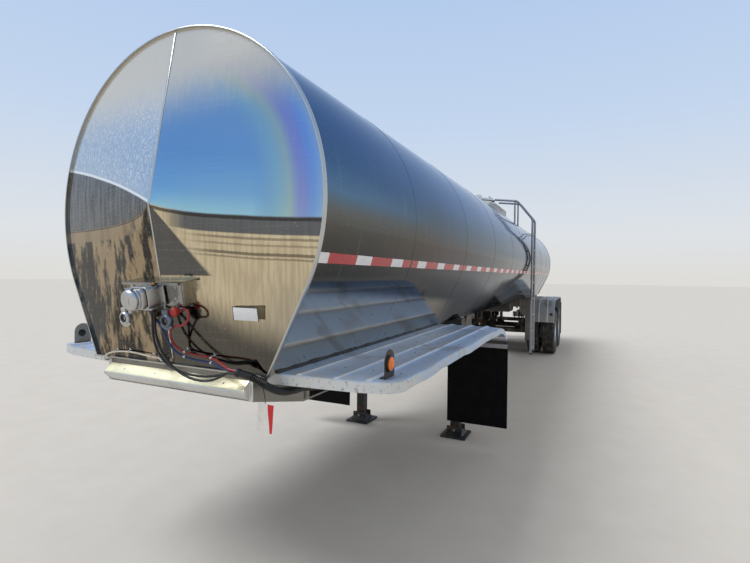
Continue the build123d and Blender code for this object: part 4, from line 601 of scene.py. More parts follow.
def coated(name, colour, rough=0.45, dusty=0.4, rust=0.0):
    """Old paint with dust in its patches and rust breaking through."""
    paint = Paint(name)
    patches = paint.noise(5.0, 6.0, rough=0.62)
    fine = paint.noise(70.0, 4.0, shift=(1, 5, 3))
    shade = paint.mix(colour, scaled(colour, 1.7, 0.01), fine * 0.5)
    settled = (patches.over(0.42, 0.68) * 0.7 + fine.over(0.5, 0.8) * 0.3) * dusty
    shade = paint.mix(shade, tone(150, 140, 124), settled)
    roughness = settled * 0.35 + fine * 0.12 + rough
    if rust:
        bare = paint.noise(11.0, 7.0, rough=0.7, shift=(9, 9, 2)) + fine * 0.15
        bare = bare.over(0.72 - 0.22 * rust, 0.76 - 0.2 * rust)
        rusty = paint.mix(tone(70, 38, 24), tone(112, 68, 42), paint.noise(60.0, 4.0, shift=(4, 1, 1)))
        shade = paint.mix(shade, rusty, bare)
        roughness = roughness + bare * 0.3
    paint.set("Base Color", shade)
    paint.set("Roughness", roughness)
    paint.bump(fine + patches, distance=0.0008, strength=0.4)
    return paint


def rubber(name, colour, rough=0.62, dusty=0.35):
    """Black or coloured rubber with dust settled in patches."""
    paint = Paint(name)
    dust = tone(120, 112, 100)
    fine = paint.noise(240.0, 3.0)
    patches = paint.noise(9.0, 5.0, shift=(2, 2, 8))
    settled = patches.over(0.4, 0.75) * dusty
    paint.set("Base Color", paint.mix(paint.mix(colour, dust, settled), dust, fine.over(0.6, 0.9) * 0.1))
    paint.set("Roughness", settled * 0.25 + fine * 0.1 + rough - 0.05)
    paint.bump(fine, distance=0.0004, strength=0.4)
    return paint


def lens(name, colour, deep):
    """A moulded lens with fine prism rings and a colour that deepens in patches."""
    paint = Paint(name, Coat_Weight=0.3, Coat_Roughness=0.08, Specular_IOR_Level=0.35)
    prisms = paint.cells(420.0)
    fade = paint.noise(30.0, 3.0)
    paint.set("Base Color", paint.mix(colour, deep, prisms * 0.5 + fade * 0.3))
    paint.set("Roughness", prisms * 0.2 + 0.14)
    paint.bump(prisms, distance=0.0006, strength=0.5)
    return paint


BARREL = mirror_steel("barrel_mirror", (0.012, 1.0, 1.0), barrel_painted_reflections)
HEAD = mirror_steel("head_mirror", (1.0, 1.0, 0.012), head_painted_reflections, haze=0.7)
BRIGHT = metal(
    "bright_stainless", tone(214, 214, 212), 0.2, grain=(1, 0.1, 1), dirt=tone(150, 140, 124), speck=0.25
)
EDGE = metal("edge_bead", tone(196, 196, 192), 0.3)
# Dull nose sheet whose cream colour is painted sunlight on the rail's top faces
SUNLIT_CREAM = metal("dulled_nose_sheet_painted_sunlight", tone(240, 226, 190), 0.38, dirt=tone(222, 210, 172), speck=0.35)
COUPLER = metal("coupler_plate", tone(140, 138, 132), 0.36, dirt=tone(92, 80, 64), speck=0.55)
FENDER = metal(
    "fender_sheet", tone(176, 186, 200), 0.4, grain=(1, 0.3, 1), dirt=tone(168, 160, 146), speck=0.5,
    bump=0.001,
)
CAST = metal("cast_alloy", tone(198, 198, 196), 0.36, dirt=tone(120, 116, 108), speck=0.3, bump=0.0012)
ALLOY = metal("wheel_alloy", tone(218, 219, 222), 0.22, dirt=tone(140, 128, 112), speck=0.35)
GALVANISED = metal("ladder_steel", tone(150, 152, 156), 0.4, dirt=tone(110, 98, 84), speck=0.3)
FORGED = metal("forged_steel", tone(120, 108, 98), 0.42, dirt=tone(84, 52, 34), speck=0.6)
FRAME = coated("frame_black", tone(34, 34, 36), dusty=0.45)
LEG = coated("leg_black", tone(24, 24, 25), dusty=0.25, rust=0.35)
SUBFRAME = coated("subframe_grey", tone(88, 86, 84), rough=0.5, dusty=0.35, rust=0.15)
NOSE_STEEL = metal("nose_box_steel", tone(160, 159, 156), 0.24, dirt=tone(110, 104, 94), speck=0.35)
REAR_FENDER = metal("rear_fender_paint", tone(152, 152, 154), 0.44, dirt=tone(104, 100, 94), speck=0.6)
REAR_FENDER.set("Metallic", REAR_FENDER.noise(4.0, 3.0) * 0.2 + 0.25)
# Painted highlights along the rib crests, in patches
rib_highlight_patches = REAR_FENDER.noise(7.0, 4.0).over(0.25, 0.5)
on_ribs = [abs(REAR_FENDER.y).near(rib, 0.01, 0.008) for rib in REAR_RIBS]
REAR_FENDER.cover(tone(214, 214, 212), (on_ribs[0] + on_ribs[1] + on_ribs[2]) * rib_highlight_patches * 0.7)
SPRING = coated("spring_black", tone(44, 38, 34), rough=0.6, dusty=0.5, rust=0.7)
AXLE = coated("axle_black", tone(30, 30, 30), rough=0.5, dusty=0.5, rust=0.25)
PLATE_BROWN = coated("lamp_plate", tone(36, 25, 20), rough=0.42, dusty=0.12, rust=0.12)
# A pale grey for the marker plates' inner faces, as painted light
PLATE_LIT_FACE = coated("lamp_plate_painted_lit_face", tone(146, 146, 142), rough=0.5, dusty=0.3, rust=0.1)
TYRE = rubber("tyre_black", tone(34, 34, 34), dusty=0.55)
FLAP = rubber("flap_black", tone(5, 5, 7), rough=0.7, dusty=0.02)
FLAP.set("Specular IOR Level", 0.12)
SEAL = rubber("seal_black", tone(18, 18, 18), rough=0.5, dusty=0.15)
CABLE = rubber("cable_black", tone(20, 20, 21), rough=0.38, dusty=0.12)
RED_HOSE = rubber("hose_red", tone(150, 26, 34), rough=0.34, dusty=0.18)
BLUE_HOSE = rubber("hose_blue", tone(34, 52, 110), rough=0.34, dusty=0.18)
LEAD = rubber("lead_pale", tone(206, 200, 184), rough=0.4, dusty=0.3)
AMBER = lens("amber_lens", tone(255, 138, 0), tone(236, 96, 0))
RED = lens("red_lens", tone(206, 22, 20), tone(120, 6, 8))


# The barrel's skin, with a raised lap at each shell seam
ROUND_STEPS = 132


def barrel_ring(bm, x, grow=0.0):
    """One closed ring of the barrel's section: round above, flat flanks and floor below."""
    reach, drop = RADIUS + grow, DROP + grow
    known = set(bm.edges)
    start = bm.verts.new((x, reach * cos(LEAN), AXIS - reach * sin(LEAN)))
    end = verts_in(swept(bm, [start], (x, 0, AXIS), FORWARD, pi + 2 * LEAN, ROUND_STEPS))[0]
    foot = (reach - drop * sin(LEAN)) / cos(LEAN)
    corners = [bm.verts.new((x, side * foot, AXIS - drop)) for side in SIDES]
    for pair in ((start, corners[0]), corners, (corners[1], end)):
        bm.edges.new(pair)
    return [edge for edge in bm.edges if edge not in known]


def bridged(bm, rings, ends=()):
    """Joins each ring to the next with faces, and fills the rings given as ends."""
    for first, second in zip(rings, rings[1:]):
        bmesh.ops.bridge_loops(bm, edges=first + second)
    for ring in ends:
        bmesh.ops.edgeloop_fill(bm, edges=ring)


LAP = 0.012
bm = fresh()
rings = [barrel_ring(bm, RIM_X)]
for course in range(8):
    seam = station(1.165 + course * 1.372)
    for shift, grow in ((LAP, 0.0), (LAP - 0.002, 0.0014), (0.002 - LAP, 0.0014), (-LAP, 0.0)):
        rings.append(barrel_ring(bm, seam + shift, grow))
rings.append(barrel_ring(bm, TAIL_X))
bridged(bm, rings, ends=(rings[0], rings[-1]))
finished(bm, "barrel_skin", BARREL, stands_for="tank_shell", angle=20)


# Heads: shallow cones with an upright seam down to the centre
HEAD_TIP = 0.013


def head(rim_x, way, name, node):
    bm = fresh()
    rings = []
    for scale in (1.0, 0.8, 0.6, 0.4, 0.2, 0.08, HEAD_TIP):
        x = rim_x + way * BULGE * (1 - scale) / (1 - HEAD_TIP)
        ring = barrel_ring(bm, x)
        centre = Matrix.Translation((0, 0, -AXIS))
        verts = list({v for e in ring for v in e.verts})
        bmesh.ops.scale(bm, vec=(1, scale, scale), space=centre, verts=verts)
        rings.append(ring)
    bridged(bm, rings, ends=(rings[0], rings[-1]))
    finished(bm, name, HEAD, stands_for=node, angle=4)


head(RIM_X, 1, "front_head_skin", "front_head")
head(TAIL_X, -1, "rear_head_skin", "rear_head")


SEAM_PROUD = 0.0016


def seam_strip(bm, start, end, width):
    """A thin lap along a straight line on a head."""
    start, end = Vector(start), Vector(end)
    middle = (start + end) / 2
    turn = turned_to(end - start)
    side = turn.to_3x3() @ Vector(FORWARD)
    if abs(side.y) < 0.5:
        turn = turn @ Matrix.Rotation(pi / 2, 4, "Z")
    block(bm, middle, (width, 2 * SEAM_PROUD, (end - start).length), turn, bevel=SEAM_PROUD * 0.8)


bm = fresh()
for rim_x, way in ((RIM_X, 1), (TAIL_X, -1)):
    apex_x = rim_x + way * (BULGE + 0.002)
    seam_strip(bm, (rim_x + way * 0.004, 0, AXIS + RADIUS - 0.006), (apex_x, 0, AXIS - 0.008), 0.012)
    seam_strip(bm, (apex_x, 0, AXIS + 0.004), (rim_x + way * 0.0085, 0, FLOOR + 0.03), 0.009)
finished(bm, "head_seams", EDGE)

# A rounded bead round each rim
bm = fresh()
for rim_x in (RIM_X, TAIL_X):
    section = ((-13, 0), (-13, 5.5), (-10.5, 8), (-5, 9), (5, 9), (10.5, 8), (13, 5.5), (13, 0))
    rings = [barrel_ring(bm, rim_x + a / 1000, g / 1000) for a, g in section]
    bridged(bm, rings + rings[:1])
finished(bm, "rim_beads", EDGE, stands_for="rim_bands", angle=50)

# Striped reflecting tape along both flanks
TAPE_DROP = 0.2665
TAPE_WIDTH = 0.0508
TAPE_PERIOD = 0.457
TAPE_RED = 0.279


def striped_tape(name, axis, start):
    """Reflecting tape with a honeycomb, striped white and red along an axis."""
    paint = Paint(name, Coat_Weight=0.35, Coat_Roughness=0.15)
    along = abs(getattr(paint, axis) - start) % TAPE_PERIOD
    white = along.over(TAPE_RED, TAPE_RED + 0.0005)
    honeycomb = paint.cells(330.0, "DISTANCE_TO_EDGE").over(0.02, 0.07)
    worn = paint.noise(26.0, 5.0).over(0.5, 0.8)
    red_stripe = paint.mix(tone(206, 30, 34), tone(176, 16, 24), honeycomb)
    pale_stripe = paint.mix(tone(216, 218, 222), tone(238, 238, 240), honeycomb)
    striped = paint.mix(red_stripe, pale_stripe, white)
    paint.set("Base Color", paint.mix(striped, tone(170, 158, 142), worn * 0.3))
    paint.set("Roughness", honeycomb * -0.1 + worn * 0.2 + 0.42)
    paint.bump(honeycomb, distance=0.0002, strength=0.3)
    return paint


TAPE = striped_tape("flank_tape", "x", RIM_X + 0.357)


def tape_strip(bm, front, rear, side):
    """A thin strip that follows the barrel's round side."""
    rise = asin(-TAPE_DROP / RADIUS)
    half = TAPE_WIDTH / 2 / RADIUS
    known = set(bm.faces)
    reach = RADIUS + 0.0012
    start = bm.verts.new((front, reach * cos(rise - half), AXIS + reach * sin(rise - half)))
    swept(bm, [start], (front, 0, AXIS), FORWARD, 2 * half, 4)
    edges = [e for e in bm.edges if not e.link_faces]
    moved = verts_in(bmesh.ops.extrude_edge_only(bm, edges=edges)["geom"])
    bmesh.ops.translate(bm, vec=(rear - front, 0, 0), verts=moved)
    strip = [f for f in bm.faces if f not in known]
    if side < 0:
        verts = list({v for f in strip for v in f.verts})
        bmesh.ops.scale(bm, vec=(1, -1, 1), verts=verts)


bm = fresh()
for side in SIDES:
    tape_strip(bm, station(0.017), TAIL_X + 0.02, side)
strips = list(bm.faces)
bmesh.ops.recalc_face_normals(bm, faces=strips)
bmesh.ops.solidify(bm, geom=strips, thickness=0.0008)
finished(bm, "reflecting_tape", TAPE)

# The nose: a folded box on the head, a capped socket and two air couplings
def head_reach(drop):
    return BULGE * (DROP - drop) / (DROP * (1 - HEAD_TIP))


TILT = asin(BULGE / hypot(BULGE, DROP * (1 - HEAD_TIP)))
NOSE_DROP = 0.44
NOSE = Matrix(
    (
        (0, sin(TILT), cos(TILT), RIM_X + head_reach(NOSE_DROP)),
        (1, 0, 0, 0),
        (0, cos(TILT), -sin(TILT), AXIS - NOSE_DROP),
        (0, 0, 0, 1),
    )
)


def onto_nose(bm):
    bmesh.ops.transform(bm, matrix=NOSE, verts=bm.verts)


bm = fresh()
for low, high, bevel in (
    ((-0.185, -0.06, -0.004), (0.185, 0.06, 0.038), 0.004),
    ((0.118, -0.058, 0.036), (0.184, 0.058, 0.046), 0.004),
    ((-0.184, -0.058, 0.036), (-0.1, 0.058, 0.045), 0.004),
    ((-0.198, 0.06, -0.004), (0.198, 0.064, 0.072), 0.0015),
    ((-0.198, 0.05, 0.068), (0.198, 0.064, 0.072), 0.0015),
    ((-0.196, -0.067, -0.002), (0.196, -0.06, 0.006), 0.001),
):
    slab(bm, low, high, bevel)
rod(bm, (0.122, -0.056, 0.041), (0.122, 0.056, 0.041), 0.006, sides=14)
for place in ((0.151, 0.04, 0.046), (0.144, -0.02, 0.046), (-0.15, 0.04, 0.045), (-0.15, -0.03, 0.045)):
    hex_bolt(bm, place, UP, 0.009, index=1)
onto_nose(bm)
finished(bm, "nose_box_shell", [NOSE_STEEL, CAST], stands_for="nose_box")


def rounded_frame(bm, half_u, half_v, low, high, radius, shrink=1.0):
    """A block with rounded corners that narrows towards its front."""
    made = bmesh.ops.create_cube(bm, size=1.0)["verts"]
    bmesh.ops.scale(bm, vec=(2 * half_u, 2 * half_v, high - low), verts=made)
    bmesh.ops.translate(bm, vec=(0, 0, (low + high) / 2), verts=made)
    front = [v for v in made if v.co.z > (low + high) / 2]
    bmesh.ops.scale(bm, vec=(shrink, shrink, 1), verts=front)
    edges = {e for v in made for e in v.link_edges}
    sides = [e for e in edges if abs(e.verts[0].co.z - e.verts[1].co.z) > 0.001]
    known = set(bm.edges)
    softened(bm, sides, radius, 5)
    rims = [
        e
        for f in bm.faces
        if f.normal.length > 0 and abs(f.normal.z) > 0.99 and len(f.verts) > 8
        for e in f.edges
        if e not in known and low - 0.001 < e.verts[0].co.z < high + 0.001
    ]
    softened(bm, set(rims), 0.003, 3)


bm = fresh()
rounded_frame(bm, 0.073, 0.0585, 0.046, 0.055, 0.012)
rounded_frame(bm, 0.062, 0.056, 0.054, 0.136, 0.02, shrink=0.95)
rounded_frame(bm, 0.058, 0.052, 0.141, 0.166, 0.024, shrink=0.97)
rod(bm, (0, 0, 0.134), (0, 0, 0.144), 0.049, sides=40, index=1)
lathe(bm, ((0.164, 0), (0.164, 0.05), (0.17, 0.052), (0.176, 0.05), (0.177, 0.0)), (0, 0, 0), UP)
cap = (
    (0.178, 0), (0.178, 0.051), (0.184, 0.053), (0.194, 0.051), (0.202, 0.043), (0.204, 0.036), (0.2045, 0),
)
lathe(bm, cap, (0, 0, 0), UP, steps=40)
slab(bm, (-0.016, -0.018, 0.203), (0.016, 0.014, 0.2075), 0.002)
slab(bm, (-0.01, -0.06, 0.184), (0.01, -0.046, 0.199), 0.003)
rod(bm, (-0.024, 0.054, 0.18), (0.024, 0.054, 0.18), 0.0065, sides=16, index=2)
slab(bm, (-0.018, 0.04, 0.176), (0.018, 0.054, 0.19), 0.003)
slab(bm, (-0.05, -0.0655, 0.062), (0.05, -0.055, 0.12), 0.003)
for u in (-0.062, 0.062):
    for v in (-0.046, 0.046):
        hex_bolt(bm, (u, v, 0.055), UP, 0.0075, index=2)
hex_bolt(bm, (0.046, 0.0565, 0.082), LEFT, 0.01, index=3)
onto_nose(bm)
DABBED = metal("dabbed_bolt", tone(170, 140, 70), 0.5, dirt=tone(120, 84, 30), speck=0.8)
finished(bm, "power_socket_body", [CAST, SEAL, GALVANISED, DABBED], stands_for="power_socket")

# Air couplings: a round body with a seal, a hook plate and a neck back to the head
GLADHAND_V = -0.12
bm = fresh()
for place, tint in ((-0.19, 0), (0.108, 1)):
    centre = (place, GLADHAND_V, 0)
    body = (
        (0.072, 0), (0.072, 0.026), (0.078, 0.033), (0.094, 0.034), (0.102, 0.031), (0.1055, 0.0275),
        (0.1055, 0.022), (0.098, 0.02), (0.098, 0.0),
    )
    lathe(bm, body, centre, UP, steps=36, index=tint)
    gasket = (
        (0.098, 0.0205), (0.105, 0.0215), (0.1062, 0.0205), (0.1062, 0.016), (0.102, 0.0125), (0.088, 0.012),
        (0.088, 0.0),
    )
    lathe(bm, gasket, centre, UP, steps=32, index=2)
    hook = fresh()
    low_end = Vector((cos(radians(205)), sin(radians(205)), 0))
    arc, strip = chain(hook, [Vector((place, GLADHAND_V, 0.088)) + low_end * r for r in (0.03, 0.047)])
    swept(hook, arc + strip, centre, UP, radians(120), 14)
    thickened(hook, hook.faces, (0, 0, 0.009))
    for face in hook.faces:
        face.material_index = tint
    add_part(bm, hook)
    neck_v = GLADHAND_V + 0.036
    neck_low, neck_high = (place - 0.017, neck_v - 0.018, 0.074), (place + 0.017, neck_v + 0.02, 0.1)
    slab(bm, neck_low, neck_high, 0.006, index=tint)
    rod(bm, (place, neck_v, -0.004), (place, neck_v, 0.076), 0.013, sides=20, index=tint)
    rod(bm, (place, neck_v, 0.0), (place, neck_v, 0.014), 0.02, sides=6, index=3)
    rod(bm, (place, neck_v, 0.05), (place, neck_v, 0.066), 0.017, sides=6, index=3)
onto_nose(bm)
GREY_CAST = metal("grey_cast", tone(118, 126, 140), 0.42, dirt=tone(84, 84, 84), speck=0.4)
finished(bm, "gladhand_pair", [CAST, GREY_CAST, SEAL, GALVANISED], stands_for="gladhands")

# Rubber guard beside the right coupling
RED_RUBBER = rubber("guard_red", tone(176, 36, 30), rough=0.5, dusty=0.25)
bm = fresh()
guard = ((0.05, 0.0), (0.05, 0.018), (0.056, 0.022), (0.076, 0.023), (0.082, 0.019), (0.084, 0.0))
lathe(bm, guard, (0.143, -0.082, 0), UP, steps=28)
slab(bm, (0.112, -0.1, 0.06), (0.15, -0.082, 0.078), 0.006, segments=3)
onto_nose(bm)
finished(bm, "coupling_guard", RED_RUBBER)

# Cords: each route's control points are forward of the rim, left of the centre and below the axis, in mm
RED_ROUTE = (
    (101, 168, 519), (104, 200, 519), (110, 224, 541), (117, 224, 573), (123, 200, 597), (126, 150, 600),
    (122, 116, 618), (110, 95, 650), (86, 82, 688), (57, 88, 722), (36, 118, 746), (33, 202, 753),
    (33, 287, 757), (42, 345, 768), (62, 398, 782), (77, 446.24, 794.16), (72.46, 485.61, 799.46),
)
BLUE_ROUTE = (
    (101, -130, 519), (104, -96, 521), (109, -58, 536), (114, -20, 559), (118, 16, 584), (119, 46, 612),
    (112, 60, 652), (92, 66, 694), (64, 76, 738), (40, 112, 768), (33, 202, 780), (32, 297, 783),
    (38, 348, 797), (50, 398, 802), (63.89, 444.73, 794.16), (59.35, 484.09, 799.46),
)
UPPER_ROUTE = (
    (135, -8, 529.3), (126.3, -8, 573.4), (124, -12, 624), (122, -6, 678), (120, 16, 732), (116, 62, 786),
    (108, 136, 822), (98, 226, 838), (86, 316, 840), (74, 392, 826), (64.09, 442.99, 807.24),
    (59.55, 482.35, 812.54),
)
LOWER_ROUTE = (
    (134.97, 8, 529.45), (128, 8, 564.8), (134, 18, 612), (142, 38, 664), (146, 68, 716), (144, 108, 764),
    (138, 160, 806), (130, 226, 838), (120, 300, 854), (106, 370, 848), (88, 414, 824),
    (77.2, 444.5, 807.24), (72.66, 483.87, 812.54),
)
LEAD_ROUTE = (
    (-60, -548, 850), (-20, -549, 849), (12, -544, 844), (30, -526, 822), (28, -490, 800), (22, -440, 788),
    (20, -380, 782), (22, -300, 780), (24, -220, 785), (27, -150, 791), (28, -100, 793), (28, -70, 793),
)
SLEEVE_ROUTE = (
    (66, 484, 806), (60, 536, 813), (42, 584, 834), (12, 620, 868), (-42, 644, 900), (-104, 654, 912),
    (-200, 658, 918), (-330, 658, 918),
)


def cord(name, route, radius, paint, node):
    """A cord's smooth line through its route, in place of the CAD's."""
    piece = smooth_line(name, [ahead(place) for place in route], radius)
    piece.data.materials.append(paint.material)
    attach(piece, TRAILER)
    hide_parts(node)
    return piece


for name, route, radius, length, paint, slot, node in (
    ("red_air_hose", RED_ROUTE, 0.0055, 0.764, RED_HOSE, "hose_red", "hose_red"),
    ("blue_air_hose", BLUE_ROUTE, 0.0055, 0.775, BLUE_HOSE, "hose_blue", "hose_blue"),
    ("upper_power_cable", UPPER_ROUTE, 0.006, 0.715, CABLE, "cable_black", "cable_upper"),
    ("lower_power_cable", LOWER_ROUTE, 0.006, 0.678, CABLE, "cable_black", "cable_lower"),
):
    cord(name, route, radius, paint, node)
    ahead(route[0])
    2 * radius
cord("side_lead_run", LEAD_ROUTE, 0.0045, LEAD, "side_lead")


def line_of(name, route):
    """Places along a route's smooth line."""
    mesh = mesh_of(smooth_line(name, [ahead(place) for place in route], 0.0, steps=24))
    places = [v.co.copy() for v in mesh.vertices]
    bpy.data.meshes.remove(mesh)
    return places


def ribbed_tube(bm, line, radius, groove, pitch):
    """A corrugated tube along a line: ridges and grooves a set distance apart."""
    travelled, last, places = 0.0, line[0], [line[0]]
    for place in line[1:]:
        travelled += (place - last).length
        last = place
        if travelled >= pitch / 2:
            places.append(place)
            travelled = 0.0
    for turn, (start, end) in enumerate(zip(places, places[1:])):
        sizes = (radius, groove) if turn % 2 else (groove, radius)
        rod(bm, start, end, sizes[0], sizes[1], sides=18)


bm = fresh()
ribbed_tube(bm, line_of("sleeve_line", SLEEVE_ROUTE), 0.019, 0.0165, 0.0075)
mouth = ahead(SLEEVE_ROUTE[0])
inward = (ahead(SLEEVE_ROUTE[1]) - mouth).normalized()
cuff = ((-0.001, 0.0165), (-0.001, 0.0198), (0.016, 0.0205), (0.02, 0.0165))
lathe(bm, cuff, mouth, inward, steps=24, index=1)
finished(bm, "corrugated_sleeve", [CABLE, SEAL], stands_for="cable_sleeve", angle=60)

# Hose ends and the boot under the socket
bm = fresh()
for route in (RED_ROUTE, BLUE_ROUTE):
    start = ahead(route[0])
    back = (start - ahead(route[1])).normalized()
    collar = ((-0.004, 0.0056), (-0.004, 0.0082), (0, 0.0088), (0.016, 0.0088), (0.018, 0.0078), (0.018, 0))
    lathe(bm, collar, start, back, steps=24, index=1)
    rod(bm, start + back * 0.018, start + back * 0.03, 0.0105, sides=6, index=1)
    rod(bm, start + back * 0.03, start + back * 0.046, 0.0072, sides=20, index=1)
start = ahead(UPPER_ROUTE[0])
lower = ahead(LOWER_ROUTE[0])
middle = (start + lower) / 2
back = (start - ahead(UPPER_ROUTE[1])).normalized()
boot = (
    (-0.01, 0.0), (-0.01, 0.0135), (-0.004, 0.0145), (-0.002, 0.0165), (0.003, 0.0165), (0.005, 0.015),
    (0.008, 0.0172), (0.013, 0.0172), (0.015, 0.0158), (0.018, 0.0178), (0.026, 0.0178), (0.03, 0.0),
)
lathe(bm, boot, middle, back, steps=28)
finished(bm, "hose_ends", [CABLE, GALVANISED], stands_for="cord_fittings")

# Clips that hold the hoses and the side lead off the head
bm = fresh()
CLIPS = (
    (118, RED_ROUTE), (118, BLUE_ROUTE), (292, RED_ROUTE), (292, BLUE_ROUTE), (-330, LEAD_ROUTE),
    (-150, LEAD_ROUTE), (-440, LEAD_ROUTE),
)
LINES = {id(route): line_of("clip_line", route) for route in (RED_ROUTE, BLUE_ROUTE, LEAD_ROUTE)}
for left, route in CLIPS:
    line = LINES[id(route)]
    bare = 0.0045 if route is LEAD_ROUTE else 0.0055
    spot = min(
        range(1, len(line) - 1),
        key=lambda i: abs(line[i].y - left / 1000) + abs(line[i].z - AXIS + 0.77) * 0.2,
    )
    way = (line[spot + 1] - line[spot - 1]).normalized()
    here = line[spot]
    ring = ((-0.006, bare + 0.0002), (-0.006, bare + 0.0016), (0.006, bare + 0.0016), (0.006, bare + 0.0002))
    lathe(bm, ring, here, way, steps=20)
    skin = RIM_X + head_reach(AXIS - here.z)
    near_y, far_y, low_z = here.y - 0.007, here.y + 0.007, here.z + 0.006
    slab(bm, (skin - 0.002, near_y, low_z), (here.x + 0.001, far_y, here.z + 0.009), 0.0006)
    slab(bm, (skin - 0.001, near_y, low_z), (skin + 0.003, far_y, here.z + 0.026), 0.0006)
    hex_bolt(bm, (skin + 0.002, here.y, here.z + 0.018), (cos(TILT), 0, -sin(TILT)), 0.005)
end = ahead(LEAD_ROUTE[-1])
rod(bm, end + Vector((0, -0.004, 0)), end + Vector((0, 0.01, 0)), 0.009, sides=6)
skin = RIM_X + head_reach(AXIS - end.z)
slab(bm, (skin - 0.003, end.y + 0.008, end.z - 0.012), end + Vector((0.012, 0.03, 0.012)), 0.003)
finished(bm, "cord_clips", BRIGHT, stands_for="cable_clips")

# Nose rail: a folded sheet whose top faces take a painted sunlit cream, end plates and welds
RAIL_HALF = 0.5
bm = fresh()
fold = (
    (0.001, -0.036), (0.02, -0.055), (0.0395, -0.0755), (0.0435, -0.081), (0.0445, -0.087), (0.0425, -0.092),
    (0.018, -0.114), (-0.005, -0.135), (-0.008, -0.132), (-0.004, -0.04),
)
outline = [(RIM_X + a, -RAIL_HALF, FLOOR + b) for a, b in fold]
plate(bm, outline, (0, 2 * RAIL_HALF, 0))
for face in bm.faces:
    if face.normal.length and face.calc_center_median().z < FLOOR - 0.083:
        face.material_index = 1
finished(bm, "nose_rail_sheet", [SUNLIT_CREAM, BRIGHT], stands_for="nose_rail", angle=28)

bm = fresh()
end_fold = ((0.001, -0.034), (0.046, -0.083), (0.046, -0.091), (-0.004, -0.1365), (-0.004, -0.034))
for side in SIDES:
    outline = [(RIM_X + a - 0.001, side * 0.498, FLOOR + b) for a, b in end_fold]
    plate(bm, outline, (0, side * 0.004, 0))
    low, high = FLOOR - 0.134, FLOOR - 0.01
    slab(bm, (station(0.03), side * 0.502, low), (station(-0.002), side * 0.5255, high), 0.002)
    weld_y = side * 0.5035
    rod(bm, (RIM_X, weld_y, FLOOR - 0.13), (RIM_X, weld_y, FLOOR - 0.036), 0.003, sides=10)
for y in (-0.36, -0.12, 0.12, 0.36):
    rod(bm, (station(-0.0215), y, FLOOR - 0.0585), (station(-0.0225), y, FLOOR - 0.0575), 0.006, sides=16)
finished(bm, "nose_rail_ends", BRIGHT)

# Coupler: the weld line under the rim, the lower edge, upright welds and bolts along the sides
bm = fresh()
slab(bm, (station(0.004), -0.525, FLOOR - 0.012), (station(-0.004), 0.525, FLOOR - 0.006), 0.0015)
slab(bm, (station(0.424), -0.524, FLOOR - 0.2365), (station(1.896), 0.524, FLOOR - 0.234), 0.001)
for side in SIDES:
    for place in (0.44, 0.925, 1.395, 1.865):
        low_end = (station(place + 0.006), side * 0.5, FLOOR - 0.222)
        slab(bm, low_end, (station(place - 0.006), side * 0.534, FLOOR - 0.008), 0.0015)
    for step in range(9):
        hex_bolt(bm, (station(0.52 + step * 0.155), side * 0.526, FLOOR - 0.006), (0, side, 0), 0.006)
finished(bm, "coupler_welds", COUPLER)

# Front fenders: thin sheet with swaged ribs, a turned-down tail and a lip round its free edges
FENDER_INNER = 0.5696
LEVEL_START = 0.05
LEVEL_END = 2.6
LEVEL_STEPS = 42
TAIL_BEND = 0.65
TAIL_TURN = 2 * atan2(0.13, 0.39)


def fender_profile():
    points = [(FENDER_INNER, 0.012), (FENDER_INNER + 0.006, 0.003), (FENDER_INNER + 0.016, 0.0)]
    for rib in FRONT_RIBS:
        flank = ((0.02, 0), (0.015, 0.002), (0.009, 0.0066), (0.003, 0.0086))
        points += [(rib - across, rise) for across, rise in flank]
        points += [(rib + across, rise) for across, rise in reversed(flank)]
        points.append((rib + 0.075, 0.0))
    points += [(1.205, 0.0), (1.2135, -0.001), (1.2175, -0.004)]
    return points + [(1.2185, -0.01), (1.2185, -0.03), (1.2185, -0.05)]


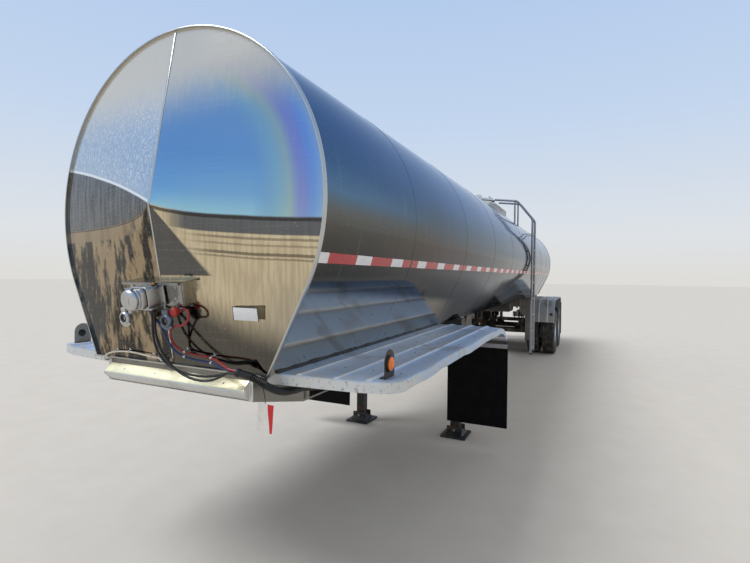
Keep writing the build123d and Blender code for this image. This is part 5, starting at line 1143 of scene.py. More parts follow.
def front_fender(side):
    bm = fresh()
    edges = chain(bm, [(RIM_X - LEVEL_START, y, FLOOR + rise) for y, rise in fender_profile()])[1]
    for _ in range(LEVEL_STEPS):
        edges, moved = grown_edge(bm, edges, (-(LEVEL_END - LEVEL_START) / LEVEL_STEPS, 0, 0))
    bend = (station(LEVEL_END), 0, FLOOR - TAIL_BEND)
    swept(bm, edges + list({v for e in edges for v in e.verts}), bend, (0, -1, 0), TAIL_TURN, 10)
    bends = (
        (0.05, FENDER_INNER), (0.0975, 1.03), (0.128, 1.13), (0.15, 1.178), (0.188, 1.208), (0.25, 1.22),
    )
    corners = [Vector((RIM_X - back, y, FLOOR)) for back, y in bends]
    for start, end in zip(corners, corners[1:]):
        normal = (end - start).cross(Vector(UP)).normalized()
        if normal.x < 0:
            normal.negate()
        bmesh.ops.bisect_plane(
            bm, geom=[*bm.verts, *bm.edges, *bm.faces], dist=1e-6, plane_co=start, plane_no=normal,
            clear_outer=True,
        )
    lip = [
        e
        for e in bm.edges
        if e.is_boundary
        and all(v.co.x > RIM_X - 0.255 and v.co.z > FLOOR - 0.012 for v in e.verts)
        and abs(e.verts[0].co.y - e.verts[1].co.y) > 1e-5
    ]
    for drop in (0.004, 0.018, 0.018, 0.0125):
        lip, moved = grown_edge(bm, lip, (0, 0, -drop))
    for vert in moved:
        vert.co.z = FLOOR - 0.0525
    for vert in bm.verts:
        place = vert.co
        depth = FLOOR - place.z
        sway = noise.noise(place * 3.1) * 0.0022 + noise.noise(place * 9.0) * 0.0007
        edge = max(0.0, min(1.0, (place.y - 1.12) / 0.09))
        dent = max(0.0, noise.noise(Vector((place.x * 2.3, side * 4.0, 1.7))) - 0.12) * edge
        free = max(0.0, min(1.0, (place.y - 0.6) / 0.1))
        if place.x < RIM_X - 0.255 or depth < 0.003:
            place.z += (sway - dent * 0.022) * free
        if place.y > 1.2 and depth > 0.012 and place.x < RIM_X - 0.4:
            place.y -= abs(noise.noise(Vector((place.x * 5.0, 2.0, side)))) * 0.007
    bmesh.ops.recalc_face_normals(bm, faces=bm.faces)
    if sum(f.normal.z for f in bm.faces) < 0:
        bmesh.ops.reverse_faces(bm, faces=bm.faces)
    bmesh.ops.solidify(bm, geom=list(bm.faces), thickness=0.0035)
    if side < 0:
        bmesh.ops.scale(bm, vec=(1, -1, 1), verts=bm.verts)
    return bm


# The sheet's pale blue is painted skylight on a fender in shade
FENDER_TOP = metal(
    "fender_top", tone(176, 202, 240), 0.4, grain=(0.2, 2.0, 1), dirt=tone(170, 172, 172), speck=0.45,
    bump=0.0008,
)
# Painted highlights on the rib crests, in patches
rib_crest_highlights = FENDER_TOP.z.over(FLOOR + 0.003, FLOOR + 0.0075) * FENDER_TOP.noise(7.0, 4.0).over(0.2, 0.5)
spill = FENDER_TOP.noise(4.0, 6.0, stretch=(1, 2.2, 1), shift=(3, 3, 3), rough=0.7).over(0.57, 0.63)
edges = abs(FENDER_TOP.y).over(1.16, 1.215) + FENDER_TOP.x.over(RIM_X - 0.2, RIM_X - 0.1)
edge_dirt = edges * FENDER_TOP.noise(14.0, 6.0, rough=0.7).over(0.42, 0.6)
FENDER_TOP.cover(tone(236, 238, 240), rib_crest_highlights * 0.8)
FENDER_TOP.cover(tone(128, 134, 144), spill * 0.5)
FENDER_TOP.cover(tone(196, 192, 180), edge_dirt * 0.6)
front_lip = FENDER_TOP.z.over(FLOOR - 0.002, FLOOR - 0.008) * FENDER_TOP.x.over(RIM_X - 0.5, RIM_X - 0.3)
chips = FENDER_TOP.noise(46.0, 5.0, rough=0.7, shift=(6, 2, 2)).over(0.56, 0.62)
FENDER_TOP.cover(tone(212, 213, 211), front_lip * 0.8)
FENDER_TOP.cover(tone(110, 104, 96), front_lip * chips * 0.55)
FENDER_TOP.set("Metallic", 0.4 - front_lip * 0.1 - spill * 0.1)
for side, name in SIDE_NAMES.items():
    finished(
        front_fender(side), f"front_fender_sheet_{name}", FENDER_TOP,
        stands_for="front_fenders" if side > 0 else "", angle=40,
    )

# Support angles, cross straps and rivets of the front fenders
bm = fresh()
for side in SIDES:
    rear_end = (station(2.58), side * 0.572, FLOOR - 0.03)
    slab(bm, rear_end, (station(0.06), side * 0.602, FLOOR - 0.0045), 0.002)
    for step in range(12):
        hex_bolt(bm, (station(0.24 + step * 0.2), side * 0.59, FLOOR + 0.001), UP, 0.006)
    for place in (0.33, 0.92, 1.39, 1.865, 2.48):
        for across in (0.66, 0.84, 1.00, 1.15):
            hex_bolt(bm, (station(place + 0.005), side * across, FLOOR - 0.0005), UP, 0.006)
        inner_end = (station(place + 0.04), side * 0.6, FLOOR - 0.0115)
        slab(bm, inner_end, (station(place), side * 1.2, FLOOR - 0.0085), 0.001)
finished(bm, "fender_fixings", FENDER)

# Old dark sealant in the corner between each fender and the barrel
bm = fresh()
for side in SIDES:
    places = []
    for step in range(61):
        back = 0.06 + step * 0.042
        sway = noise.noise(Vector((back * 9.0, side * 3.0, 2.0)))
        places.append(Vector((station(back), side * (0.619 + sway * 0.004), FLOOR + 0.004 + sway * 0.004)))
    for a, b in zip(places, places[1:]):
        rod(bm, a, b, 0.009 + 0.003 * noise.noise(a * 17.0), sides=8)
finished(bm, "fender_sealant", SEAL, angle=60)

# Marker lamps: an arched plate on a foot, and a ribbed lens in a rubber ring on its outer face
MARKER_X = station(0.23)
MARKER_Y = 1.135
MARKER_HALF = 0.0545
LENS_Z = FLOOR + 0.068
plates = fresh()
glasses = fresh()
arch = [(MARKER_HALF * cos(pi * step / 18), 0.077 + MARKER_HALF * sin(pi * step / 18)) for step in range(19)]
arch = [(MARKER_HALF, 0.002)] + arch + [(-MARKER_HALF, 0.002)]
for side in SIDES:
    outline = [(MARKER_X + a, side * (MARKER_Y - 0.001), FLOOR + b) for a, b in arch]
    plate(plates, outline, (0, -side * 0.004, 0))
# The plates' inner faces take a pale grey as painted light; their outer faces keep a dark brown that adds
# painted shade to the plate's own dark colour
plates.normal_update()
for face in plates.faces:
    if abs(face.normal.y) > 0.9 and abs(face.calc_center_median().y) < MARKER_Y - 0.004:
        face.material_index = 3
for side in SIDES:
    centre = (MARKER_X + 0.008, side * MARKER_Y, LENS_Z)
    foot = (MARKER_X - 0.044, side * (MARKER_Y - 0.035), FLOOR + 0.001)
    slab(plates, foot, (MARKER_X + 0.044, side * (MARKER_Y - 0.005), FLOOR + 0.005), 0.001)
    for along in (-0.027, 0.027):
        bolt = (MARKER_X + along, side * (MARKER_Y - 0.021), FLOOR + 0.005)
        hex_bolt(plates, bolt, UP, 0.006, index=1)
    grommet = ((-0.001, 0), (-0.001, 0.04), (0.006, 0.0395), (0.01, 0.036), (0.009, 0.032), (0.004, 0))
    lathe(plates, grommet, centre, (0, side, 0), steps=32, index=2)
    backing = ((-0.004, 0.0), (-0.004, 0.024), (-0.014, 0.021), (-0.018, 0.012), (-0.018, 0.0))
    lathe(plates, backing, centre, (0, side, 0), steps=24, index=2)
    glass = (
        (0.004, 0.0), (0.004, 0.0325), (0.011, 0.0318), (0.0125, 0.0275), (0.0145, 0.0268), (0.0155, 0.0226),
        (0.0165, 0.0219), (0.018, 0.0163), (0.019, 0.0156), (0.0205, 0.0085), (0.021, 0.0),
    )
    lathe(glasses, glass, centre, (0, side, 0), steps=36)
finished(
    plates, "marker_plate_pair", [PLATE_BROWN, GALVANISED, SEAL, PLATE_LIT_FACE],
    stands_for="marker_posts",
)
finished(glasses, "marker_lens_pair", AMBER, stands_for="marker_lenses")

# A blank placard with a dark border on the head, and a blank tag tied under the nose rail
PLACARD = Paint("placard_sheet", Roughness=0.38, Coat_Weight=0.4)
speckle = PLACARD.noise(60.0, 4.0)
stain = PLACARD.noise(18.0, 5.0, shift=(4, 4, 4)).over(0.5, 0.7)
PLACARD.set("Base Color", PLACARD.mix(tone(232, 236, 240), tone(214, 218, 222), speckle))
PLACARD.cover(tone(176, 170, 156), stain * 0.35)
bm = fresh()
slab(bm, (0.452, -0.124, -0.0005), (0.598, -0.062, 0.0012), 0.0006)
onto_nose(bm)
finished(bm, "blank_placard", PLACARD)
EDGING = rubber("placard_edging", tone(30, 30, 34), rough=0.4, dusty=0.2)
bm = fresh()
for u0, v0, u1, v1 in (
    (0.45, -0.0625, 0.6, -0.0585), (0.45, -0.126, 0.4535, -0.06), (0.5965, -0.126, 0.6, -0.06),
):
    slab(bm, (u0, v0, -0.0005), (u1, v1, 0.0016), 0.0005)
onto_nose(bm)
finished(bm, "placard_border", EDGING)

TAG = Paint("tag_card", Roughness=0.5)
tag_red = (TAG.y - 0.612).over(-0.0005, 0.0005)
crease = TAG.noise(40.0, 5.0)
TAG.set("Base Color", TAG.mix(tone(232, 230, 226), tone(206, 40, 48), tag_red))
TAG.cover(tone(160, 150, 138), crease.over(0.5, 0.8) * 0.3)
TAG.bump(crease, distance=0.0006, strength=0.5)
bm = sheet(8, 14, 0.08, 0.142)
for vert in bm.verts:
    vert.co.z = 0.006 * sin(vert.co.y * 22) + 0.003 * sin(vert.co.x * 60)
hang(bm, ((pi / 2, "X"), (pi / 2 + 0.25, "Z"), (-0.12, "X")), ahead((-4, 594, 1024)), 0.0008)
finished(bm, "blank_tag", TAG, outward=False)
tie = (
    (-4, 594, 962), (-10, 590, 940), (-12, 578, 905), (-6, 574, 866), (-2, 592, 905), (-1, 598, 940),
    (-4, 596, 962),
)
wire = mesh_of(smooth_line("tag_tie", [ahead(place) for place in tie], 0.0011, rounds=2, steps=12))
bm = fresh()
bm.from_mesh(wire)
bpy.data.meshes.remove(wire)
finished(bm, "tag_wire", CABLE, angle=60)

# Tyres: four circumferential grooves, shoulder notches and sidewall ribs
TYRE_RADIUS = 0.51
TREAD_STEPS = 108
AXLES = {"front": station(9.9), "rear": station(11.145)}
OUTER_Y = 1.079
INNER_Y = OUTER_Y - 0.343


def tyre_profile():
    """Half of the section as (across, radius), from the bead to the tread's middle."""
    half = [
        (0.104, 0.286), (0.112, 0.289), (0.118, 0.296), (0.121, 0.306), (0.126, 0.318), (0.1325, 0.342),
        (0.1335, 0.345), (0.1335, 0.35), (0.1352, 0.354), (0.1385, 0.385), (0.1395, 0.408), (0.139, 0.43),
        (0.1372, 0.448), (0.1388, 0.451), (0.138, 0.457), (0.1345, 0.462), (0.13, 0.476), (0.1225, 0.492),
        (0.115, 0.501), (0.108, 0.5065),
    ]
    for groove in (0.074, 0.0245):
        half += [(groove + 0.0075, 0.5085), (groove + 0.0062, 0.5078), (groove + 0.0042, 0.4965)]
        half += [(groove - 0.0042, 0.4965), (groove - 0.0062, 0.5082), (groove - 0.0075, 0.5092)]
    return half + [(0.0, 0.51)]


def tyre(bm, centre_y, axle_x):
    half = tyre_profile()
    whole = half + [(-a, r) for a, r in reversed(half[:-1])]
    centre = Vector((axle_x, centre_y, TYRE_RADIUS))
    known = set(bm.verts)
    lathe(bm, whole, centre, LEFT, steps=TREAD_STEPS)
    for vert in bm.verts:
        if vert in known:
            continue
        spoke = Vector((vert.co.x - axle_x, 0, vert.co.z - TYRE_RADIUS))
        across = abs(vert.co.y - centre_y)
        turn = round(atan2(spoke.z, spoke.x) / (2 * pi / TREAD_STEPS))
        if 0.094 < across < 0.127 and spoke.length > 0.488 and turn % 3 == 0:
            vert.co -= spoke.normalized() * 0.0055
        if 0.006 < across < 0.1 and spoke.length > 0.505 and turn % 2 == 0:
            vert.co -= spoke.normalized() * 0.0007
    sag = [v for v in bm.verts if v not in known and v.co.z < 0.004]
    for vert in sag:
        vert.co.z = max(vert.co.z, 0.0005)


def rim(bm, centre_y, axle_x, way):
    """A wheel's lipped barrel, and the dish that reaches in to its flat disc."""
    centre = Vector((axle_x, centre_y, TYRE_RADIUS))
    axis = (0, way, 0)
    barrel = (
        (0.108, 0.2905), (0.112, 0.2925), (0.1125, 0.288), (0.108, 0.284), (0.1, 0.2795), (0.086, 0.2755),
        (0.074, 0.27), (0.04, 0.268), (-0.04, 0.2665), (-0.074, 0.269), (-0.098, 0.278), (-0.11, 0.288),
        (-0.11, 0.2915), (-0.1, 0.286), (-0.07, 0.276), (0.06, 0.276), (0.096, 0.284), (0.108, 0.2905),
    )
    lathe(bm, barrel, centre, axis, steps=72)
    dish = (
        (-0.06, 0.2672), (-0.088, 0.2655), (-0.112, 0.26), (-0.128, 0.252), (-0.1385, 0.244),
    )
    lathe(bm, dish, centre, axis, steps=72)
    lathe(bm, [(a - 0.012, r - 0.003) for a, r in dish], centre, axis, steps=72)


HOLES = 10
HOLE_RADIUS = 0.0275
HOLE_RING = 0.203
DISC_OUTER = 0.244
DISC_INNER = 0.14
DISC_THICK = 0.012


def pierced_disc(bm, centre, way):
    """A flat ring with round hand holes, as one filled outline with a thickness."""
    disc = fresh()
    for radius, steps in ((DISC_OUTER, 72), (DISC_INNER, 60)):
        bmesh.ops.create_circle(disc, cap_ends=False, segments=steps, radius=radius)
    hole_centres = around((0, 0, 0), HOLE_RING, HOLES, axes=(FORWARD, LEFT))
    for place in hole_centres:
        where = Matrix.Translation(place)
        bmesh.ops.create_circle(disc, cap_ends=False, segments=20, radius=HOLE_RADIUS, matrix=where)
    bmesh.ops.triangle_fill(disc, use_beauty=True, use_dissolve=False, edges=list(disc.edges))

    def in_hole(face, place):
        middle_inside = (face.calc_center_median() - place).length < HOLE_RADIUS * 0.9
        return middle_inside and all((v.co - place).length < HOLE_RADIUS * 1.01 for v in face.verts)

    waste = [f for f in disc.faces if f.calc_center_median().length < DISC_INNER * 0.98]
    waste += [f for f in disc.faces if any(in_hole(f, place) for place in hole_centres)]
    bmesh.ops.delete(disc, geom=waste, context="FACES")
    thickened(disc, disc.faces, (0, 0, DISC_THICK))
    bmesh.ops.transform(disc, matrix=Matrix.Translation(centre) @ turned_to((0, way, 0)), verts=disc.verts)
    bmesh.ops.recalc_face_normals(disc, faces=disc.faces)
    add_part(bm, disc)


MOUNT_Y = (OUTER_Y + INNER_Y) / 2
hub = (
    (-0.012, 0.222), (-0.012, 0.168), (0.02, 0.166), (0.026, 0.15), (0.027, 0.108), (0.032, 0.1),
    (0.076, 0.094), (0.082, 0.096), (0.088, 0.096), (0.09, 0.09), (0.092, 0.07), (0.108, 0.066),
    (0.114, 0.058), (0.116, 0.04), (0.116, 0.0),
)
drum = (
    (-0.012, 0.2), (-0.012, 0.222), (-0.03, 0.224), (-0.034, 0.219), (-0.05, 0.219), (-0.054, 0.224),
    (-0.178, 0.224), (-0.184, 0.2295), (-0.198, 0.2295), (-0.201, 0.224), (-0.201, 0.203), (-0.034, 0.202),
    (-0.032, 0.1), (-0.012, 0.09),
)
for axle_name, axle_x in AXLES.items():
    for side, side_name in SIDE_NAMES.items():
        body = f"wheelset_{axle_name}_{side_name}"
        bm = fresh()
        for centre_y in (OUTER_Y, INNER_Y):
            tyre(bm, side * centre_y, axle_x)
        place = f"{axle_name}_{side_name}"
        finished(bm, f"tread_tyres_{place}", TYRE, body, f"tyres_{place}", angle=24)
        bm = fresh()
        rim(bm, side * OUTER_Y, axle_x, side)
        rim(bm, side * INNER_Y, axle_x, -side)
        middle = Vector((axle_x, side * MOUNT_Y, TYRE_RADIUS))
        pierced_disc(bm, middle + Vector((0, side * 0.0205, 0)), side)
        pierced_disc(bm, middle - Vector((0, side * 0.0205, 0)), -side)
        lathe(bm, hub, middle, (0, side, 0), steps=48, index=1)
        lathe(bm, drum, middle, (0, side, 0), steps=60, index=2)
        outward = Vector((0, side, 0))
        for stud in around(middle + outward * 0.03, 0.1425, HOLES, shift=0.5):
            hex_bolt(bm, stud, outward, 0.019, index=1)
            rod(bm, stud, stud + outward * 0.03, 0.0095, sides=12, index=1)
        for cap in around(middle + outward * 0.088, 0.08, 6):
            hex_bolt(bm, cap, outward, 0.008, index=1)
        rod(bm, middle + outward * 0.114, middle + outward * 0.1159, 0.018, sides=20, index=3)
        finished(
            bm, f"disc_wheels_{place}", [ALLOY, GALVANISED, SPRING, SEAL], body,
            f"wheels_{place}", angle=28,
        )

# Mud flaps: rubber sheet a little bowed, bolted under square bars
FLAPS = ((station(3.03), FLOOR - 0.21), (TAIL_X - 0.08, FLOOR - 0.25))
FLAP_Y = 0.905
FLAP_WIDTH = 0.624
FLAP_LOW = 0.262
bm = fresh()
for flap_x, top in FLAPS:
    for side in SIDES:
        tall = top - FLAP_LOW
        rubber_sheet = sheet(14, 16, FLAP_WIDTH, tall)
        for vert in rubber_sheet.verts:
            fall = 0.5 - vert.co.y / tall
            vert.co.z = 0.003 * sin(vert.co.x * 9 + fall * 3) * fall + 0.0016 * sin(fall * 14)
        middle = (flap_x, side * FLAP_Y, (top + FLAP_LOW) / 2)
        hang(rubber_sheet, ((pi / 2, "X"), (pi / 2, "Z")), middle, 0.005)
        add_part(bm, rubber_sheet)
finished(bm, "rubber_flaps", FLAP, stands_for="mud_flaps", outward=False)

bm = fresh()
for flap_x, top in FLAPS:
    for side in SIDES:
        y = side * FLAP_Y
        bar_x = flap_x + 0.009
        slab(bm, (bar_x - 0.005, y - 0.31, top - 0.045), (bar_x, y + 0.31, top + 0.001), 0.001, index=1)
        for step in range(5):
            hex_bolt(bm, (bar_x, y + (step - 2) * 0.14, top - 0.024), FORWARD, 0.008, index=1)
        if flap_x > 0:
            slab(bm, (flap_x - 0.004, y - 0.06, top - 0.02), (flap_x + 0.02, y + 0.06, top + 0.03), 0.003)
            brace_foot = (flap_x + 0.1, side * 1.02, FLOOR - 0.02)
            rod(bm, (flap_x, side * 0.98, top + 0.015), brace_foot, 0.009, sides=14)
finished(bm, "flap_clamps", [FRAME, GALVANISED])

# Landing gear details: welded gussets, shoe axles and fixings, from each leg's place on the ground
LEG_X = station(3.37)
bm = fresh()
for side in SIDES:
    leg = Vector((LEG_X, side * 0.6, 0))
    offset_slab(bm, leg, (-0.076, -0.076, 0.555), (0.076, 0.076, 0.583), 0.004)
    offset_slab(bm, leg, (-0.098, -0.086, 1.052), (0.098, 0.086, 1.064), 0.003)
    for along in SIDES:
        offset_slab(bm, leg, (along * 0.062, -0.086, 0.024), (along * 0.072, 0.086, 0.118), 0.003)
        for across in SIDES:
            hex_bolt(bm, leg + Vector((along * 0.086, across * 0.066, 1.052)), DOWN, 0.012, index=1)
    offset_rod(bm, leg, (-0.09, 0, 0.078), (0.09, 0, 0.078), 0.014, sides=18, index=1)
    for height in (0.64, 0.98):
        for face in SIDES:
            hex_bolt(bm, leg + Vector((0.0705, face * 0.045, height)), FORWARD, 0.008, index=1)
    for near_y, far_y, radius in ((0.07, 0.11, 0.034), (0.112, 0.142, 0.029)):
        offset_rod(bm, leg, (0, -side * near_y, 0.8), (0, -side * far_y, 0.8), radius)
    hex_bolt(bm, leg + Vector((0.026, -side * 0.127, 0.8)), FORWARD, 0.007, index=1)
gearbox = Vector((LEG_X, 0.67, 0.96))
offset_slab(bm, gearbox, (-0.062, 0.04, -0.092), (0.062, 0.052, 0.092), 0.004)
for along in SIDES:
    for rise in SIDES:
        hex_bolt(bm, gearbox + Vector((along * 0.05, 0.052, rise * 0.078)), LEFT, 0.008, index=1)
offset_rod(bm, gearbox, (0, 0.05, 0), (0, 0.09, 0), 0.024, 0.018)
offset_slab(bm, gearbox, (-0.02, 0.1, -0.3), (-0.012, 0.13, -0.28), 0.002)
finished(bm, "leg_fittings", [LEG, GALVANISED])
dress("landing_feet", LEG)

# Rear fenders: rolled sheet with three ribs, bent over both axles
MIDDLE_X = (AXLES["front"] + AXLES["rear"]) / 2
FENDER_FRONT_X = AXLES["front"] + 0.6
FENDER_REAR_X = AXLES["rear"] - 0.6
CREST = FLOOR - 0.05


def arch_line():
    """The fender's side line from front to rear, with rounded corners."""
    corners = (
        (FENDER_FRONT_X, 0.78), (FENDER_FRONT_X - 0.02, CREST - 0.25), (FENDER_FRONT_X - 0.25, CREST),
        (FENDER_REAR_X + 0.25, CREST), (FENDER_REAR_X + 0.02, CREST - 0.25), (FENDER_REAR_X, 0.78),
    )
    path = fresh()
    verts = chain(path, [(x, 0, z) for x, z in corners])[0]
    softened(path, verts[1:-1], 0.105, 10, "VERTICES")
    here = max(path.verts, key=lambda v: v.co.x - v.co.z)
    line = [here]
    while len(line) < len(path.verts):
        here = next(e.other_vert(here) for e in here.link_edges if e.other_vert(here) not in line)
        line.append(here)
    places = [v.co.copy() for v in line]
    path.free()
    return places


def along_line(places, distance):
    """The place and the direction at a distance along a line of places."""
    for a, b in zip(places, places[1:]):
        reach = (b - a).length
        if distance <= reach or b is places[-1]:
            return a.lerp(b, distance / reach), (b - a).normalized()
        distance -= reach


FENDER_NEAR, FENDER_FAR = 0.588, 1.2165
arch = arch_line()
arch_length = sum((b - a).length for a, b in zip(arch, arch[1:]))
bm = fresh()
for side in SIDES:
    fender = sheet(90, 64, 1, 1)
    for vert in fender.verts:
        along = min(max((vert.co.x + 0.5) * arch_length, 0.0), arch_length - 1e-5)
        across = FENDER_NEAR + (vert.co.y + 0.5) * (FENDER_FAR - FENDER_NEAR)
        rise = sum(0.008 * max(0.0, 1 - ((across - rib) / 0.019) ** 2) ** 0.5 for rib in REAR_RIBS)
        edge = min(across - FENDER_NEAR, FENDER_FAR - across)
        rise -= 0.014 * max(0.0, 1 - edge / 0.016) ** 2
        place, heading = along_line(arch, along)
        outward = Vector((heading.z, 0, -heading.x))
        if outward.dot(place - Vector((MIDDLE_X, 0, 0.9))) < 0:
            outward = -outward
        dent = 0.003 * noise.noise(Vector((place.x * 2.1, across * 3.0, place.z * 2.1 + side * 5)))
        vert.co = place + outward * (rise + dent - 0.004) + Vector((0, side * across, 0))
    bmesh.ops.recalc_face_normals(fender, faces=fender.faces)
    bmesh.ops.solidify(fender, geom=list(fender.faces), thickness=0.004)
    add_part(bm, fender)
finished(
    bm, "ribbed_rear_fenders", REAR_FENDER, stands_for="rear_fenders", outward=False,
    angle=40,
)

bm = fresh()
for side in SIDES:
    for end_x in (FENDER_FRONT_X - 0.006, FENDER_REAR_X + 0.006):
        rod(bm, (end_x, side * 0.59, 0.783), (end_x, side * 1.214, 0.783), 0.006, sides=14)
    for stay in (AXLES["front"] + 0.25, MIDDLE_X, AXLES["rear"] - 0.25):
        for across in (0.64, 0.79, 0.97, 1.15):
            hex_bolt(bm, (stay, side * across, CREST - 0.0045), UP, 0.008, index=1)
        near_y, far_y = side * 0.62 - 0.02, side * 1.16
        slab(bm, (stay - 0.03, near_y, CREST - 0.018), (stay + 0.03, far_y, CREST - 0.0095), 0.002, index=2)
finished(bm, "fender_edges_and_bolts", [EDGE, GALVANISED, FRAME])

# Small lamps on the rear fenders' fronts
bm = fresh()
for side in SIDES:
    front_lamp = Vector((FENDER_FRONT_X - 0.002, side * 1.15, 0.96))
    for profile in (
        ((0, 0.034), (0.004, 0.034), (0.006, 0.03)),
        ((0.004, 0.029), (0.012, 0.027), (0.017, 0.016), (0.018, 0)),
    ):
        lathe(bm, profile, front_lamp, FORWARD, steps=28, index=1)
    low_lamp = Vector((FENDER_FRONT_X + 0.001, side * 0.65, 0.83))
    offset_slab(bm, low_lamp, (-0.002, -0.036, -0.018), (0.004, 0.036, 0.018), 0.002, index=1)
    offset_slab(bm, low_lamp, (0.002, -0.03, -0.013), (0.014, 0.03, 0.013), 0.005)
finished(bm, "fender_marker_lamps", [AMBER, PLATE_BROWN])

# Subframe: bolts over the hangers, spring pins and clamp nuts
bm = fresh()
HANGERS = (AXLES["front"] + 0.49, MIDDLE_X, AXLES["rear"] - 0.49)
PORTAL_X = -3.064
PORTAL_LEG_Y = 0.705
for side in SIDES:
    for hanger in HANGERS:
        for along in (-0.08, -0.027, 0.027, 0.08):
            hex_bolt(bm, (hanger + along, side * 0.52, 1.062), (0, side, 0), 0.01, index=1)
        y = side * 0.524
        slab(bm, (hanger - 0.108, y - 0.004, 1.041), (hanger + 0.108, y + 0.004, 1.046), 0.001)
    rod(bm, (MIDDLE_X, side * 0.43, 0.792), (MIDDLE_X, side * 0.5362, 0.792), 0.024, sides=20, index=1)
    for step in range(12):
        x = TAIL_X + 0.02 + step * 0.27
        hex_bolt(bm, (x, side * 0.52, 1.3), (0, side, 0), 0.009, index=1)
    for edge in SIDES:
        for rise in (0.43, 0.66, 0.88):
            y = side * (PORTAL_LEG_Y + edge * 0.065)
            hex_bolt(bm, (PORTAL_X, y, rise), FORWARD, 0.009, index=1)
    y = side * PORTAL_LEG_Y
    slab(bm, (PORTAL_X + 0.0005, y - 0.09, 0.352), (PORTAL_X + 0.012, y + 0.09, 0.376), 0.002)
slab(bm, (PORTAL_X + 0.0005, -0.78, 1.29), (PORTAL_X + 0.018, 0.78, 1.302), 0.002)
finished(bm, "subframe_bolts", [FRAME, FORGED])

# Clamp bands and ports of the brake chambers, straps of the air tanks
bm = fresh()
for axle_x in AXLES.values():
    for side in SIDES:
        chamber = Vector((axle_x - 0.215, side * 0.33, 0.54))
        for along in (-0.06, 0.055):
            band = ((-0.01, 0.0915), (-0.008, 0.0955), (0.008, 0.0955), (0.01, 0.0915))
            lathe(bm, band, chamber + Vector((along, 0, 0)), FORWARD, steps=32)
        hex_bolt(bm, chamber + Vector((-0.095, 0, 0)), BACK, 0.014, index=1)
        for port in SIDES:
            y = port * 0.04
            offset_rod(bm, chamber, (-0.03, y, 0.085), (-0.03, y, 0.108), 0.009, sides=12, index=1)
for tank_station in (8.35, 8.64):
    tank = Vector((station(tank_station), 0, 1.17))
    for side in SIDES:
        for along in (0.1, 0.3):
            strap = ((-0.004, 0.1203), (0, 0.122), (0.004, 0.1203))
            lathe(bm, strap, tank + Vector((0, side * along, 0)), LEFT, steps=40)
    hex_bolt(bm, tank + Vector((0, 0, -0.119)), DOWN, 0.014, index=1)
finished(bm, "brake_and_air_fittings", [AXLE, GALVANISED])

# Manhole: gasket, ring on the lid, four clamps with wing nuts and a bar handle
LID = Vector((-0.94, 0.0, 3.2153))
bm = fresh()
CLAMP_ANGLES = [radians(turn) for turn in (62, 118, 180, 242, 298)]
lathe(bm, ((-0.001, 0.284), (-0.0005, 0.291), (-0.01, 0.291), (-0.01, 0.284)), LID, UP, steps=80, index=1)
for ring in (
    ((0.0235, 0.3005), (0.027, 0.2985), (0.0275, 0.292), (0.0238, 0.29), (0.0235, 0.3005)),
    ((0.046, 0.206), (0.0545, 0.2), (0.0545, 0.192), (0.0475, 0.186), (0.046, 0.206)),
):
    lathe(bm, ring, LID, UP, steps=80)
for side in SIDES:
    offset_rod(bm, LID, (-0.175, side * 0.06, 0.05), (-0.175, side * 0.06, 0.088), 0.007, sides=14)
offset_rod(bm, LID, (-0.175, -0.067, 0.088), (-0.175, 0.067, 0.088), 0.0075, sides=16)
lathe(bm, ((0.126, 0.0605), (0.128, 0.0575), (0.1292, 0.048), (0.1292, 0.0)), LID, UP, steps=40)
lathe(bm, ((0.05, 0.0625), (0.056, 0.07), (0.062, 0.0625)), LID, UP, steps=40)
for angle in CLAMP_ANGLES:
    across = Vector((-sin(angle), cos(angle), 0))
    seat = LID + Vector((0.262 * cos(angle), 0.262 * sin(angle), 0.034))
    turn = Matrix.Rotation(angle, 4, "Z")
    block(bm, seat, (0.07, 0.042, 0.012), turn=turn, bevel=0.003, index=2)
    offset_rod(bm, seat, (0, 0, 0.006), (0, 0, 0.044), 0.007, sides=14, index=2)
    offset_rod(bm, seat, (0, 0, 0.016), (0, 0, 0.03), 0.014, 0.01, sides=14, index=2)
    for way in SIDES:
        low = across * way * 0.008 + Vector((0, 0, 0.022))
        high = across * way * 0.032 + Vector((0, 0, 0.04))
        offset_rod(bm, seat, low, high, 0.0045, sides=10, index=2)
finished(bm, "lid_clamps", [BRIGHT, SEAL, CAST], body="manhole_lid")

# Clamp feet round the manhole, the vent's rings and bolts, and a bead round the platform
bm = fresh()
for angle in CLAMP_ANGLES:
    foot = (LID.x + 0.288 * cos(angle), 0.288 * sin(angle), 3.15)
    block(bm, foot, (0.022, 0.036, 0.06), turn=Matrix.Rotation(angle, 4, "Z"), bevel=0.003)
dome = Vector((LID.x + 0.44, 0, 3.089))
lathe(bm, ((0.001, 0.0765), (0.008, 0.0765), (0.012, 0.07), (0.012, 0.0622)), dome, UP, steps=48)
lathe(bm, ((0.078, 0.0622), (0.08, 0.066), (0.092, 0.066), (0.094, 0.0622)), dome, UP, steps=48)
for place in around(dome + Vector((0, 0, 0.0105)), 0.069, 6, axes=(FORWARD, LEFT)):
    hex_bolt(bm, place, UP, 0.005)
for side in SIDES:
    x, y = LID.x + side * 0.557, side * 0.417
    rod(bm, (LID.x - 0.558, y, dome.z), (LID.x + 0.558, y, dome.z), 0.0032, sides=10)
    rod(bm, (x, -0.417, dome.z), (x, 0.417, dome.z), 0.0032, sides=10)
finished(bm, "manhole_fittings", BRIGHT)

# Cabinet doors: pressed panels with a raised frame and a latch, on the same hinge knuckles
DOOR_FACE, DOOR_BACK = -6.3415, -6.3303
KNUCKLE_HALF = 0.0298


